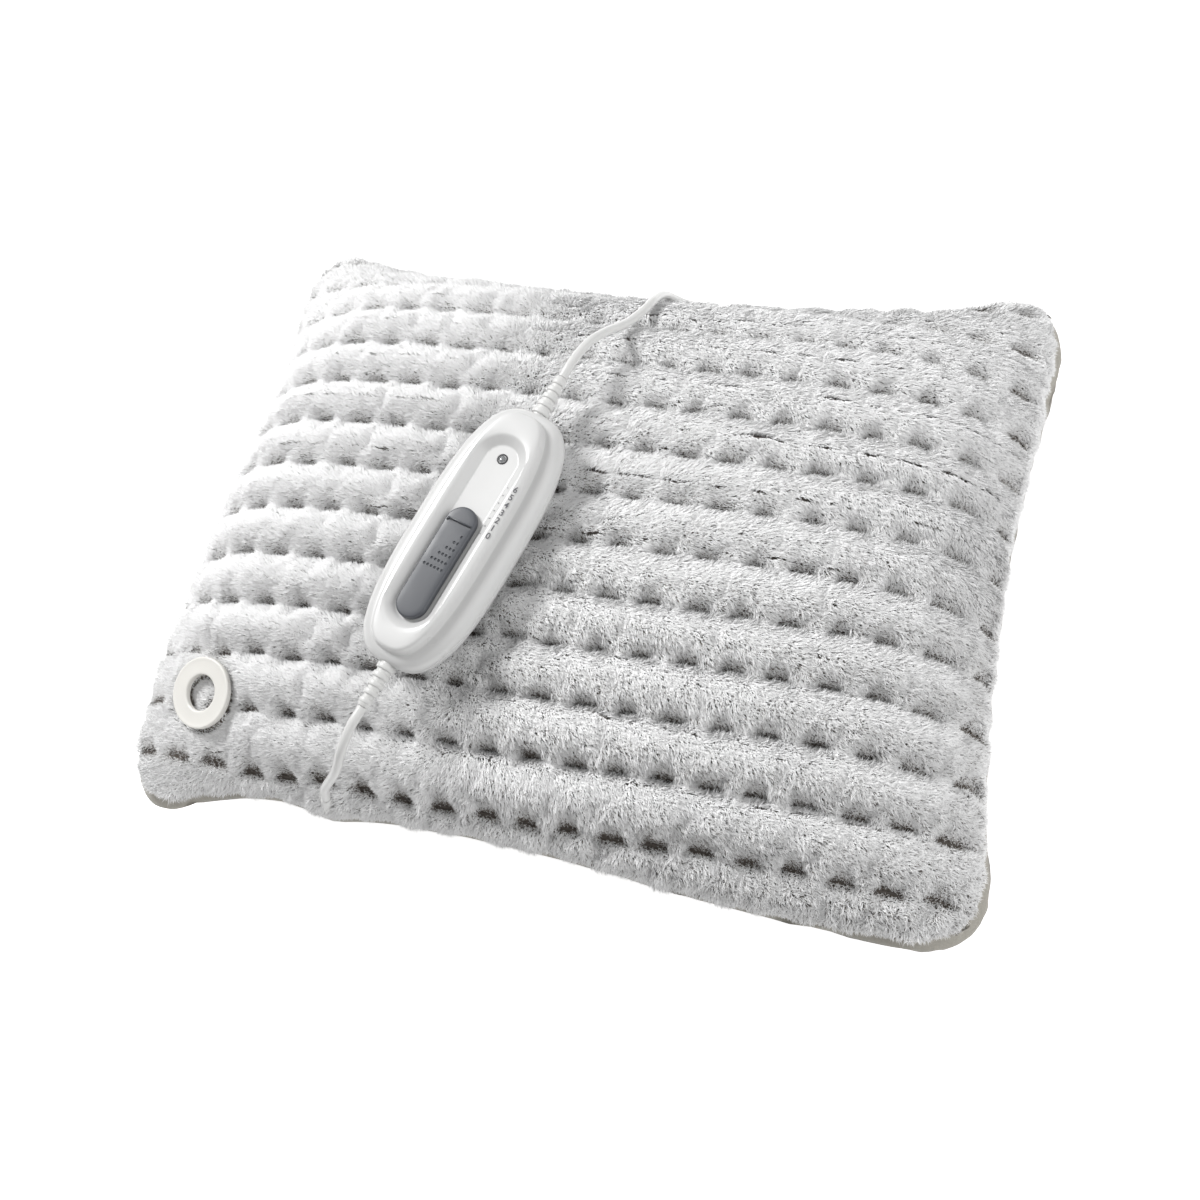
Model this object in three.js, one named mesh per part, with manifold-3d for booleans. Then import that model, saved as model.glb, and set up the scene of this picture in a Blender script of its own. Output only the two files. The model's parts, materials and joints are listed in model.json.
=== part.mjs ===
// Quilted plush heating pad with an in-line slider controller, its leads and plug.
// Millimetres, +Z up. The origin is on the floor under the centre of the pad's outline,
// +X runs along the quilting rows and +Y points to the back edge.
import * as THREE from 'three';
import { mergeVertices } from 'three/addons/utils/BufferGeometryUtils.js';
import Module from 'manifold-3d';

const GAP = 0.3; // clearance between neighbouring pieces
const OVERCUT = 1; // how far a cutting body passes the face it opens

// Pad outline at the seam, and the heights of its two faces
const SIDE_MID = 191; // half length at the middle of the short sides
const SIDE_CORNER = 204; // half length at the corners, before they are rounded
const FRONT_MID = 144;
const FRONT_CORNER = 155;
const BACK_MID = 136.5;
const BACK_CORNER = 156.4;
const CORNER_RADIUS = 40;
const RIM_POWER = 12; // how closely the bending of the outline stays at the rim
const SEAM_Z = 42; // height of the seam above the floor
const CROWN = 51.3; // rise of the quilting valleys above the seam
const BELLY = 46; // depth of the unloaded underside below the seam
const CROWN_POWER_X = 4.3;
const CROWN_POWER_FRONT = 2.35;
const CROWN_POWER_BACK = 3.1;
const BELLY_POWER = 2.3;
const COVER_WALL = 3; // plush backing and pile roots
const BACK_WALL = 2;

// Quilting channels, which run along X between the rows of welds
const ROW_COUNT = 12;
const ROW_PITCH = 23.2;
const FIRST_ROW_Y = -134.8;
const CHANNEL_RISE = 8;
const CHANNEL_POWER = 0.7; // below 1, the channels are round and the valleys sharp
const CHANNEL_FADE = [0.3, 0.8]; // share of the crown over which the channels grow to full height
const CHANNEL_STEPS = 4;

// Heater between the two layers of wadding
const LEAD_DIAMETER = 4.2;
const CARRIER_THICKNESS = 1.5;
const CARRIER_LENGTH = 340;
const CARRIER_DEPTH = 252;
const CARRIER_CORNER = 30;
const WIRE_DIAMETER = 2;
const WIRE_RUNS = 8;
const WIRE_PITCH = 28;
const WIRE_RUN_HALF = 138;
const WIRE_RETURN_X = -161;
const WIRE_SIDES = 6;
const WIRE_BEND_STEPS = 6;
const THERMOSTAT_DIAMETER = 14;
const THERMOSTAT_RUN = 3; // wire run behind which the thermostat sits
const THERMAL_FUSE_DIAMETER = 3.6;
const THERMAL_FUSE_LENGTH = 14;
const JUNCTION_SIZE = [24, 16];
const JUNCTION_Y = -112;

// Gland that takes the pad lead into the front seam
const GLAND_X = -88;
const GLAND_SLEEVE_DIAMETER = 6.4;
const GLAND_SLEEVE_ABOVE = 17.5; // along its axis, from the seam
const GLAND_SLEEVE_BELOW = 4;
const GLAND_STUB_DIAMETER = 4.6;
const GLAND_STUB_LENGTH = 12;
const GLAND_SETBACK = 1.5; // sleeve axis behind the seam line
const GLAND_AXIS = new THREE.Vector3(0.25, 0.2, 0.947).normalize();

// Trim ring in the plush at the front left corner
const RING_OUTER = 33;
const RING_BORE = 16.5;
const RING_THICKNESS = 3.4;
const RING_EDGE = 1; // width of the rounding at the outer and inner edges
const RING_CREST = 5; // width from the outer edge to the highest line
const RING_SIDE_SPACE = 52; // from the ring's middle to the corner of the outline, along X
const RING_FRONT_SPACE = 47.7; // the same along Y
const RING_SHOULDER = 14; // width over which the channels fade out beside the ring

// Controller case
const CASE_LENGTH = 127;
const CASE_WIDTH = 51.5;
const CASE_HEIGHT = 20.5;
const CASE_POWER = 3;
const CASE_WALL = 2;
const CASE_SIDES = 36;
const PARTING_Z = 9;
const CASE_X = -33.2;
const CASE_Y = -30;
const CASE_TURN = THREE.MathUtils.degToRad(-17.2);
const CASE_TILT = THREE.MathUtils.degToRad(3.6);
const PLATEAU_INSET = 10.6;
const GROOVE_INSET = 7.7;
const GROOVE_DROP = 5; // groove under the plateau
const GROOVE_CURVE = [[0.13, 3.1], [0.4, 1.2], [0.72, 0.3]]; // share of the groove's inset, drop below the groove
const GROOVE_WALL = [0.8, 2.8]; // lean and rise of the wall above the groove
const SKIRT_HEIGHT = 1; // upright wall above the parting line
const END_SHARE = 0.56; // how much of an inset of the upper case is left at its ends
const PLATEAU_EDGE = 1.6;
const CAVITY_LEAN = 0.8;
const CAVITY_SHOULDER = 4; // height of the cavity's shoulder above the parting line
const FOOT_INSET = 7;
const FOOT_CURVE = [[1, 0], [0.45, 1.2], [0.15, 4], [0, 7.5]]; // share of the foot's inset, height

// Slider and its recess
const RECESS_END_SPACE = 16; // half of the case length that the recess leaves free
const RECESS_WIDTH = 24.4;
const RECESS_Y = -0.8;
const RECESS_DEPTH = 3.4;
const RECESS_SLOPE = 3.9; // run of the sloping recess wall
const DECK_WALL = 1.5;
const SLIDER_WIDTH = 14.5;
const SLIDER_HEIGHT = 3;
const SLIDER_EDGE = 0.8;
const SLIDER_END_SPACE = 0.6; // from the slider at setting 0 to the end of the recess floor
const LAMP_ROOM = 10; // recess floor left for the lamp at the highest setting, with that space
const SETTING_STEPS = 6;
const SETTING_PITCH = 3.9;
const STEM_LENGTH = 5.6;
const STEM_WIDTH = 5;
const STEM_SLOT_PLAY = 0.5;
const CARRIAGE_LENGTH = 16;
const CARRIAGE_WIDTH = 15;
const CARRIAGE_THICKNESS = 2.5;
const WIPER_WIDTH = 5;
const WIPER_THICKNESS = 0.4;
const WIPER_LENGTH = 9.6;
const RAIL_WIDTH = 2.4;
const RAIL_THICKNESS = 1.6;
const NOTCH_DEPTH = 0.8;

// Circuit board and what stands on it
const BOARD_SPACE = 1.9; // between the board's ends and the screw bosses
const BOARD_SIDE_SPACE = 9.5; // between the board's long edge and the outside of the case
const BOARD_THICKNESS = 1.6;
const BOARD_Z = 5;
const RIB_THICKNESS = 1.6;
const RIB_SPACE = 17; // between a rib and the board's end
const STRIP_WIDTH = 5;
const STRIP_SPARE = 0.6; // strip length beyond the carriage's way
const STRIP_THICKNESS = 0.4;
const LED_END_SPACE = 10.3; // from the lamp to the end of the recess
const LED_DIAMETER = 3;
const LED_WINDOW_DIAMETER = 3.4;
const LED_FLANGE_DIAMETER = 5.2;
const LED_FLANGE_THICKNESS = 1.2;
const TRIAC_SIZE = [10, 8, 4.5];
const TRIAC_SPACE = 1; // extra room between the triac and the lamp
const CAPACITOR_SIZE = [6, 13, 5.5];
const CAPACITOR_SPACE = 3; // from the board's long edge
const FUSE_DIAMETER = 5;
const FUSE_LENGTH = 20;
const BLOCK_SIZE = [10, 5, 5];
const BLOCK_SIDE = 8; // block beside the lamp

// Screws, cord clamps and strain reliefs
const SCREW_SIDE_SPACE = 15; // from a screw to the long side of the case
const SCREW_END_SPACE = 19; // from a screw to the end of the case
const SCREW_DIAMETER = 2.4;
const SCREW_HEAD_DIAMETER = 4.8;
const SCREW_HEAD_HEIGHT = 1.6;
const SCREW_REACH = 6; // thread length in the upper boss
const SCREW_SIDES = 12;
const BOSS_DIAMETER = 6.2;
const CLAMP_END_SPACE = 11; // from a cord clamp to the end of the case
const CLAMP_SIZE = [14, 4, 4.4];
const CLAMP_POST = 3;
const RELIEF_LENGTH = 20;
const RELIEF_ROOT_DIAMETER = 8.4;
const RELIEF_TIP_DIAMETER = 6;
const RELIEF_RIBS = 5;
const RELIEF_GROOVE = 0.9;
const RELIEF_RIB_SHARE = 0.6; // part of each pitch that is rib
const RELIEF_SIDES = 12;
const NECK_DIAMETER = 6.6;
const FLANGE_DIAMETER = 8.4;
const FLANGE_THICKNESS = 1.6;
const FLANGE_SETBACK = 1.5; // flange behind the sloping inside of the end wall

// Points that the leads pass through between their ends
const PAD_LEAD_WAY = [
  [-64, -129, 99.5],
  [-68.5, -135, 89],
];
const MAINS_LEAD_WAY = [
  [-1.9, 69.9, 113.8],
  [2.1, 80.2, 107.5],
  [5.6, 88.6, 100.5],
  [8.3, 95, 95.8],
  [12, 104.5, 91.5],
  [13.3, 112.5, 87],
  [13, 120, 80.2],
  [12.3, 128, 70.6],
  [12, 135, 60],
  [12.9, 140.3, 49.8],
  [16, 144.6, 40.6],
  [22, 147.6, 32.9],
  [31, 148.4, 27.2],
  [42, 146.2, 23.2],
  [53, 141.2, 19.2],
  [64.5, 134, 14.4],
  [77, 127.2, 8.9],
  [89.5, 123.6, 5],
  [100.3, 126, 4],
  [108, 133.3, 3.5],
  [110.8, 143.7, 3.5],
  [108, 154.1, 3.5],
  [100.3, 161.3, 3.5],
  [89.5, 164, 3.5],
  [78, 164.5, 3.5],
  [66, 164.5, 3.5],
];

// Mains lead, hank and plug
const CORD_SIDES = 8;
const CORD_STEP = 2.4; // tube step in cord diameters
const HANK_TURNS = 2.5; // in each of two layers
const HANK_RUN = 80;
const HANK_FOLD = 12.6; // radius of the innermost fold
const HANK_PITCH = 4.75;
const HANK_Y = 140;
const HANK_RUN_POINTS = 4;
const HANK_FOLD_POINTS = 8;
const HANK_SIDES = 6;
const TIE_WIDTH = 6;
const TIE_THICKNESS = 1;
const TIE_Z = 0.1;
const PLUG_THICKNESS = 13.7;
const PLUG_WIDTH = 35;
const PLUG_LENGTH = 36;
const PLUG_EDGE = 1.4;
const PLUG_SIDE = [12.6, 23.4]; // where the widest stretch starts and ends
const PLUG_FACE_WIDTH = 27.2;
const PLUG_X = -100;
const PLUG_Y = 146;
const PIN_DIAMETER = 4;
const PIN_LENGTH = 19;
const PIN_SPACING = 18.6;
const PIN_SIDES = 12;

// Colours
const PLUSH = { color: 0xd6d4d1, roughness: 0.95, metalness: 0 };
const SUEDE = { color: 0x9c978c, roughness: 0.9, metalness: 0 };
const WADDING = { color: 0xf0efeb, roughness: 1, metalness: 0 };
const WHITE_GLOSS = { color: 0xeeeeec, roughness: 0.35, metalness: 0 };
const WHITE_SOFT = { color: 0xe9e8e4, roughness: 0.55, metalness: 0 };
const IVORY = { color: 0xe4e1d8, roughness: 0.45, metalness: 0 };
const SLATE = { color: 0x5c5f66, roughness: 0.5, metalness: 0 };
const BLACK = { color: 0x222224, roughness: 0.5, metalness: 0 };
const COPPER = { color: 0xb87840, roughness: 0.35, metalness: 1 };
const STEEL = { color: 0xb9bcc0, roughness: 0.3, metalness: 1 };
const BOARD_GREEN = { color: 0x2f6a45, roughness: 0.5, metalness: 0 };
const SMOKE = { color: 0x6d6f70, roughness: 0.2, metalness: 0 };

const wasm = await Module();
wasm.setup();

// Geometry helpers

function solid(points, faces) {
  const geometry = new THREE.BufferGeometry().setFromPoints(points);
  geometry.setIndex(faces.flat());
  return geometry;
}

function toManifold(geometry) {
  const bare = geometry.clone();
  bare.deleteAttribute('normal');
  bare.deleteAttribute('uv');
  const merged = mergeVertices(bare, 1e-4);
  const vertProperties = new Float32Array(merged.attributes.position.array);
  const triVerts = new Uint32Array(merged.index.array);
  return new wasm.Manifold(new wasm.Mesh({ numProp: 3, vertProperties, triVerts }));
}

function toGeometry(manifold) {
  const mesh = manifold.getMesh();
  const geometry = new THREE.BufferGeometry();
  geometry.setAttribute('position', new THREE.BufferAttribute(mesh.vertProperties, 3));
  geometry.setIndex(new THREE.BufferAttribute(mesh.triVerts, 1));
  return geometry;
}

function cut(base, ...tools) {
  return toGeometry(tools.reduce((rest, tool) => rest.subtract(toManifold(tool)), toManifold(base)));
}

function join(base, ...extras) {
  return toGeometry(extras.reduce((sum, extra) => sum.add(toManifold(extra)), toManifold(base)));
}

function box(width, depth, height, x, y, bottom) {
  return new THREE.BoxGeometry(width, depth, height).translate(x, y, bottom + height / 2);
}

// Upright cylinder between two heights
function post(diameter, x, y, bottom, top, sides = 16) {
  const height = top - bottom;
  const geometry = new THREE.CylinderGeometry(diameter / 2, diameter / 2, height, sides);
  return geometry.rotateX(Math.PI / 2).translate(x, y, bottom + height / 2);
}

// Cylinder between two points
function rod(diameter, from, to, sides = 16) {
  const axis = new THREE.Vector3().subVectors(to, from);
  const geometry = new THREE.CylinderGeometry(diameter / 2, diameter / 2, axis.length(), sides);
  const turn = new THREE.Quaternion().setFromUnitVectors(THREE.Object3D.DEFAULT_UP, axis.clone().normalize());
  return geometry.applyQuaternion(turn).translate(...from.clone().add(to).multiplyScalar(0.5).toArray());
}

// Turned body about Z from [radius, height] pairs
function turned(profile, sides) {
  const points = profile.map(([radius, height]) => new THREE.Vector2(radius, height));
  return new THREE.LatheGeometry(points, sides).rotateX(Math.PI / 2);
}

// Closed body through rings of equal count, listed from the bottom up
function loft(rings) {
  const count = rings[0].length;
  const points = rings.flat();
  const faces = [];
  for (let level = 0; level + 1 < rings.length; level += 1) {
    for (let side = 0; side < count; side += 1) {
      const a = level * count + side;
      const b = level * count + ((side + 1) % count);
      faces.push([a, b, b + count], [a, b + count, a + count]);
    }
  }
  const top = (rings.length - 1) * count;
  for (let side = 1; side + 1 < count; side += 1) {
    faces.push([0, side + 1, side], [top, top + side, top + side + 1]);
  }
  return solid(points, faces);
}

function superellipse(halfWidth, halfLength, power, z) {
  const ring = [];
  for (let side = 0; side < CASE_SIDES; side += 1) {
    const angle = (side / CASE_SIDES) * 2 * Math.PI;
    const bend = (value) => Math.sign(value) * Math.abs(value) ** (2 / power);
    ring.push(new THREE.Vector3(halfWidth * bend(Math.cos(angle)), halfLength * bend(Math.sin(angle)), z));
  }
  return ring;
}

function stadium(width, length, y, z, arcSteps = 10) {
  const ring = [];
  for (const end of [1, -1]) {
    for (let step = 0; step <= arcSteps; step += 1) {
      const angle = (step / arcSteps) * Math.PI + (end > 0 ? 0 : Math.PI);
      const middle = y + end * (length - width) / 2;
      ring.push(new THREE.Vector3((width / 2) * Math.cos(angle), middle + (width / 2) * Math.sin(angle), z));
    }
  }
  return ring;
}

// Tube with closed ends through a list of points
function tubeThrough(points, diameter, sides) {
  const vertices = [];
  const faces = [];
  const tangentAt = (i) => new THREE.Vector3()
    .subVectors(points[Math.min(i + 1, points.length - 1)], points[Math.max(i - 1, 0)]).normalize();
  const normal = new THREE.Vector3(0, 0, 1);
  points.forEach((point, i) => {
    const tangent = tangentAt(i);
    normal.addScaledVector(tangent, -normal.dot(tangent)).normalize();
    const across = new THREE.Vector3().crossVectors(tangent, normal);
    for (let side = 0; side < sides; side += 1) {
      const angle = (side / sides) * 2 * Math.PI;
      vertices.push(point.clone()
        .addScaledVector(normal, (diameter / 2) * Math.cos(angle))
        .addScaledVector(across, (diameter / 2) * Math.sin(angle)));
      if (i > 0) {
        const a = (i - 1) * sides + side;
        const b = (i - 1) * sides + ((side + 1) % sides);
        faces.push([a, b, b + sides], [a, b + sides, a + sides]);
      }
    }
  });
  const last = (points.length - 1) * sides;
  for (let side = 1; side + 1 < sides; side += 1) {
    faces.push([0, side + 1, side], [last, last + side, last + side + 1]);
  }
  return solid(vertices, faces);
}

// Cord stretch along a smooth curve through its route
function cordAlong(route) {
  const section = new THREE.Shape();
  for (let side = 0; side < CORD_SIDES; side += 1) {
    const angle = (side / CORD_SIDES) * 2 * Math.PI;
    const x = (LEAD_DIAMETER / 2) * Math.cos(angle);
    const y = (LEAD_DIAMETER / 2) * Math.sin(angle);
    if (side === 0) section.moveTo(x, y);
    else section.lineTo(x, y);
  }
  section.closePath();
  const extrudePath = new THREE.CatmullRomCurve3(route, false, 'centripetal');
  const steps = Math.round(extrudePath.getLength() / (CORD_STEP * LEAD_DIAMETER));
  return new THREE.ExtrudeGeometry(section, { steps, extrudePath, bevelEnabled: false });
}

const root = new THREE.Group();

function add(parent, name, geometry, look) {
  const mesh = new THREE.Mesh(geometry, new THREE.MeshStandardMaterial(look));
  mesh.name = name;
  parent.add(mesh);
  return mesh;
}

// Pad surfaces, as functions of u and v, which run from -1 to 1 across the outline.
// The corner zone of the square of u and v is drawn onto a quarter disc.

function planPoint(u, v, inset) {
  const frontSide = v < 0;
  const mid = frontSide ? FRONT_MID : BACK_MID;
  const corner = frontSide ? FRONT_CORNER : BACK_CORNER;
  const rimX = SIDE_CORNER - (SIDE_CORNER - SIDE_MID) * (1 - v * v);
  const rimY = corner - (corner - mid) * (1 - u * u);
  let x = Math.abs(u) * SIDE_MID + (rimX - SIDE_MID) * Math.abs(u) ** RIM_POWER;
  let y = Math.abs(v) * mid + (rimY - mid) * Math.abs(v) ** RIM_POWER;
  const overX = (x - rimX) / CORNER_RADIUS + 1;
  const overY = (y - rimY) / CORNER_RADIUS + 1;
  if (overX > 0 && overY > 0) {
    x = rimX + CORNER_RADIUS * (overX * Math.sqrt(1 - overY ** 2 / 2) - 1);
    y = rimY + CORNER_RADIUS * (overY * Math.sqrt(1 - overX ** 2 / 2) - 1);
  }
  return [Math.sign(u) * x * (1 - inset / SIDE_MID), Math.sign(v) * y * (1 - inset / mid)];
}

function swell(u, v, powerY) {
  const across = 1 - Math.abs(u) ** CROWN_POWER_X;
  return Math.sqrt(Math.max(0, across * (1 - Math.abs(v) ** powerY)));
}

function crownSwell(u, v) {
  return swell(u, v, v < 0 ? CROWN_POWER_FRONT : CROWN_POWER_BACK);
}

const ringX = -(SIDE_CORNER - RING_SIDE_SPACE);
const ringY = -(FRONT_CORNER - RING_FRONT_SPACE);

// Height of the padding between two rows of welds, which fades towards the rim and beside the ring
function channel(x, y, swelling) {
  const phase = (y - FIRST_ROW_Y) / ROW_PITCH;
  const puff = Math.abs(Math.sin(Math.PI * phase)) ** CHANNEL_POWER;
  const toRing = Math.hypot(x - ringX, y - ringY);
  const beside = THREE.MathUtils.smoothstep(toRing, RING_OUTER / 2, RING_OUTER / 2 + RING_SHOULDER);
  return CHANNEL_RISE * puff * THREE.MathUtils.smoothstep(swelling, ...CHANNEL_FADE) * beside;
}

const topRimZ = SEAM_Z + GAP / 2;
const backRimZ = SEAM_Z - GAP / 2;

function plushTop(u, v) {
  const [x, y] = planPoint(u, v, 0);
  const swelling = crownSwell(u, v);
  return new THREE.Vector3(x, y, topRimZ + CROWN * swelling + channel(x, y, swelling));
}

function plushInside(u, v) {
  const [x, y] = planPoint(u, v, COVER_WALL);
  return new THREE.Vector3(x, y, topRimZ + (CROWN - COVER_WALL) * crownSwell(u, v));
}

function backOutside(u, v) {
  const [x, y] = planPoint(u, v, 0);
  return new THREE.Vector3(x, y, Math.max(0, backRimZ - BELLY * swell(u, v, BELLY_POWER)));
}

function backInside(u, v) {
  const [x, y] = planPoint(u, v, BACK_WALL);
  const depth = (BELLY - BACK_WALL) * swell(u, v, BELLY_POWER);
  return new THREE.Vector3(x, y, Math.max(BACK_WALL, backRimZ - depth));
}

function mirrored(half) {
  return [...half.slice(1).reverse().map((value) => -value), ...half];
}

const FINE_U = mirrored([0, 0.2, 0.4, 0.58, 0.72, 0.84, 0.93, 0.98, 1]);
const PLAIN_U = mirrored([0, 0.3, 0.6, 0.8, 0.92, 0.97, 1]);
const PLAIN_V = mirrored([0, 0.25, 0.45, 0.62, 0.78, 0.9, 0.97, 1]);
const RIM_MARGIN_V = [0.35, 0.7, 0.9]; // stations between an outer row and the rim

// Stations across the rows: the rim, the margin, and the steps of each channel
function fineStations() {
  const toV = (y) => (y < 0 ? y / FRONT_MID : y / BACK_MID);
  const first = toV(FIRST_ROW_Y);
  const last = toV(FIRST_ROW_Y + (ROW_COUNT - 1) * ROW_PITCH);
  const stations = [-1, ...RIM_MARGIN_V.map((share) => first + (-1 - first) * share).reverse()];
  for (let step = 0; step <= (ROW_COUNT - 1) * CHANNEL_STEPS; step += 1) {
    stations.push(toV(FIRST_ROW_Y + (step / CHANNEL_STEPS) * ROW_PITCH));
  }
  stations.push(...RIM_MARGIN_V.map((share) => last + (1 - last) * share), 1);
  return stations;
}

function sheet(us, vs, place) {
  const points = vs.flatMap((v) => us.map((u) => place(u, v)));
  const rim = [];
  const at = (i, j) => j * us.length + i;
  const right = us.length - 1;
  const back = vs.length - 1;
  us.forEach((u, i) => rim.push([1 + u, at(i, 0)]));
  vs.slice(1).forEach((v, j) => rim.push([3 + v, at(right, j + 1)]));
  for (let i = right - 1; i >= 0; i -= 1) rim.push([5 - us[i], at(i, back)]);
  for (let j = back - 1; j >= 0; j -= 1) rim.push([7 - vs[j], at(0, j)]);
  return { us, vs, points, rim };
}

// Closed body between an upper and a lower sheet, which may have different stations
function bodyBetween(upper, lower) {
  const shift = upper.points.length;
  const faces = [];
  for (const [grid, base, flip] of [[upper, 0, false], [lower, shift, true]]) {
    const row = grid.us.length;
    for (let j = 0; j + 1 < grid.vs.length; j += 1) {
      for (let i = 0; i + 1 < row; i += 1) {
        const a = base + j * row + i;
        const quad = [[a, a + 1, a + 1 + row], [a, a + 1 + row, a + row]];
        faces.push(...quad.map(([p, q, r]) => (flip ? [p, r, q] : [p, q, r])));
      }
    }
  }
  let i = 0;
  let j = 0;
  while (i + 1 < upper.rim.length || j + 1 < lower.rim.length) {
    const nextUpper = i + 1 < upper.rim.length ? upper.rim[i + 1][0] : Infinity;
    const nextLower = j + 1 < lower.rim.length ? lower.rim[j + 1][0] : Infinity;
    const above = upper.rim[i][1];
    const below = shift + lower.rim[j][1];
    if (nextUpper <= nextLower) {
      faces.push([upper.rim[i + 1][1], above, below]);
      i += 1;
    } else {
      faces.push([below, shift + lower.rim[j + 1][1], above]);
      j += 1;
    }
  }
  return solid([...upper.points, ...lower.points], faces);
}

// Gland in the front seam: an upright sleeve with a stub that passes between the covers

const glandSeamY = planPoint(GLAND_X / SIDE_MID, -1, 0)[1];
const glandCentre = new THREE.Vector3(GLAND_X, glandSeamY + GLAND_SETBACK, SEAM_Z);
const glandTop = glandCentre.clone().addScaledVector(GLAND_AXIS, GLAND_SLEEVE_ABOVE);
const glandBottom = glandCentre.clone().addScaledVector(GLAND_AXIS, -GLAND_SLEEVE_BELOW);
const stubEnd = glandCentre.clone().add(new THREE.Vector3(0, GLAND_STUB_LENGTH, 0));

function glandBody(clearance) {
  const spare = GLAND_AXIS.clone().multiplyScalar(clearance);
  const sleeve = rod(
    GLAND_SLEEVE_DIAMETER + 2 * clearance,
    glandBottom.clone().sub(spare),
    glandTop.clone().add(spare),
  );
  const stubTip = stubEnd.clone().add(new THREE.Vector3(0, clearance, 0));
  return join(sleeve, rod(GLAND_STUB_DIAMETER + 2 * clearance, glandCentre, stubTip));
}

// Covers and wadding

const plushGrid = sheet(FINE_U, fineStations(), plushTop);
const glandRoom = glandBody(GAP);
const plushShell = bodyBetween(plushGrid, sheet(PLAIN_U, PLAIN_V, plushInside));
const backShell = bodyBetween(
  sheet(PLAIN_U, PLAIN_V, backInside),
  sheet(PLAIN_U, PLAIN_V, backOutside),
);
const plushCover = add(root, 'plush_cover', cut(plushShell, glandRoom), PLUSH);
add(root, 'back_cover', cut(backShell, glandRoom), SUEDE);

const carrierTop = SEAM_Z - LEAD_DIAMETER / 2 - GAP;
const carrierBottom = carrierTop - CARRIER_THICKNESS;
const upperWaddingZ = SEAM_Z + LEAD_DIAMETER / 2 + GAP;
const lowerWaddingZ = carrierBottom - GAP;
const insideU = PLAIN_U.slice(1, -1);
const insideV = PLAIN_V.slice(1, -1);

function lowered(place, drop) {
  return (u, v) => place(u, v).sub(new THREE.Vector3(0, 0, drop));
}

function levelled(place, z) {
  return (u, v) => place(u, v).setZ(z);
}

add(root, 'upper_wadding', cut(bodyBetween(
  sheet(insideU, insideV, lowered(plushInside, GAP)),
  sheet(insideU, insideV, levelled(plushInside, upperWaddingZ)),
), glandRoom), WADDING);
add(root, 'lower_wadding', bodyBetween(
  sheet(insideU, insideV, levelled(backInside, lowerWaddingZ)),
  sheet(insideU, insideV, lowered(backInside, -GAP)),
), WADDING);

// Heater

function roundedPlate(length, depth, corner, bottom, thickness) {
  const plate = new THREE.Shape();
  const x = length / 2 - corner;
  const y = depth / 2 - corner;
  plate.absarc(x, y, corner, 0, Math.PI / 2);
  plate.absarc(-x, y, corner, Math.PI / 2, Math.PI);
  plate.absarc(-x, -y, corner, Math.PI, Math.PI * 1.5);
  plate.absarc(x, -y, corner, Math.PI * 1.5, Math.PI * 2);
  const extrude = { depth: thickness, bevelEnabled: false, curveSegments: 6 };
  return new THREE.ExtrudeGeometry(plate, extrude).translate(0, 0, bottom);
}

add(
  root,
  'heater_carrier',
  roundedPlate(CARRIER_LENGTH, CARRIER_DEPTH, CARRIER_CORNER, carrierBottom, CARRIER_THICKNESS),
  WADDING,
);

const seatZ = carrierTop + GAP; // underside of everything fixed on the carrier
const wireZ = seatZ + WIRE_DIAMETER / 2;
const [junctionLength, junctionDepth] = JUNCTION_SIZE;

// The wire leaves the junction, crosses the carrier in runs and comes back along its left edge
function wireRoute() {
  const route = [new THREE.Vector3(GLAND_X + junctionLength / 2 + GAP, JUNCTION_Y, wireZ)];
  const bend = WIRE_PITCH / 2;
  const steps = WIRE_BEND_STEPS;
  for (let run = 0; run + 1 < WIRE_RUNS; run += 1) {
    const heading = run % 2 === 0 ? 1 : -1;
    const y = JUNCTION_Y + run * WIRE_PITCH;
    for (let step = 0; step <= steps; step += 1) {
      const angle = (step / steps) * Math.PI - Math.PI / 2;
      const x = heading * (WIRE_RUN_HALF + bend * Math.cos(angle));
      route.push(new THREE.Vector3(x, y + bend + bend * Math.sin(angle), wireZ));
    }
  }
  const lastY = JUNCTION_Y + (WIRE_RUNS - 1) * WIRE_PITCH;
  route.push(new THREE.Vector3(WIRE_RETURN_X + bend, lastY, wireZ));
  for (let step = 1; step <= steps; step += 1) {
    const angle = (step / steps) * (Math.PI / 2);
    const x = WIRE_RETURN_X + bend - bend * Math.sin(angle);
    route.push(new THREE.Vector3(x, lastY - bend + bend * Math.cos(angle), wireZ));
  }
  for (let step = 0; step <= steps; step += 1) {
    const angle = (step / steps) * (Math.PI / 2);
    const x = WIRE_RETURN_X + bend - bend * Math.cos(angle);
    route.push(new THREE.Vector3(x, JUNCTION_Y + bend - bend * Math.sin(angle), wireZ));
  }
  route.push(new THREE.Vector3(GLAND_X - junctionLength / 2 - GAP, JUNCTION_Y, wireZ));
  return route;
}

add(root, 'heating_wire', tubeThrough(wireRoute(), WIRE_DIAMETER, WIRE_SIDES), COPPER);
const junctionHeight = upperWaddingZ - GAP - seatZ;
add(
  root,
  'lead_junction',
  box(junctionLength, junctionDepth, junctionHeight, GLAND_X, JUNCTION_Y, seatZ),
  WHITE_SOFT,
);
const betweenRuns = JUNCTION_Y + WIRE_PITCH / 2;
add(
  root,
  'thermostat',
  post(THERMOSTAT_DIAMETER, 0, betweenRuns + THERMOSTAT_RUN * WIRE_PITCH, seatZ, seatZ + junctionHeight),
  STEEL,
);
const thermalFuseZ = seatZ + THERMAL_FUSE_DIAMETER / 2;
add(root, 'thermal_fuse', rod(
  THERMAL_FUSE_DIAMETER,
  new THREE.Vector3(-THERMAL_FUSE_LENGTH / 2, betweenRuns, thermalFuseZ),
  new THREE.Vector3(THERMAL_FUSE_LENGTH / 2, betweenRuns, thermalFuseZ),
), IVORY);
add(root, 'seam_gland', glandBody(0), WHITE_SOFT);
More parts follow.
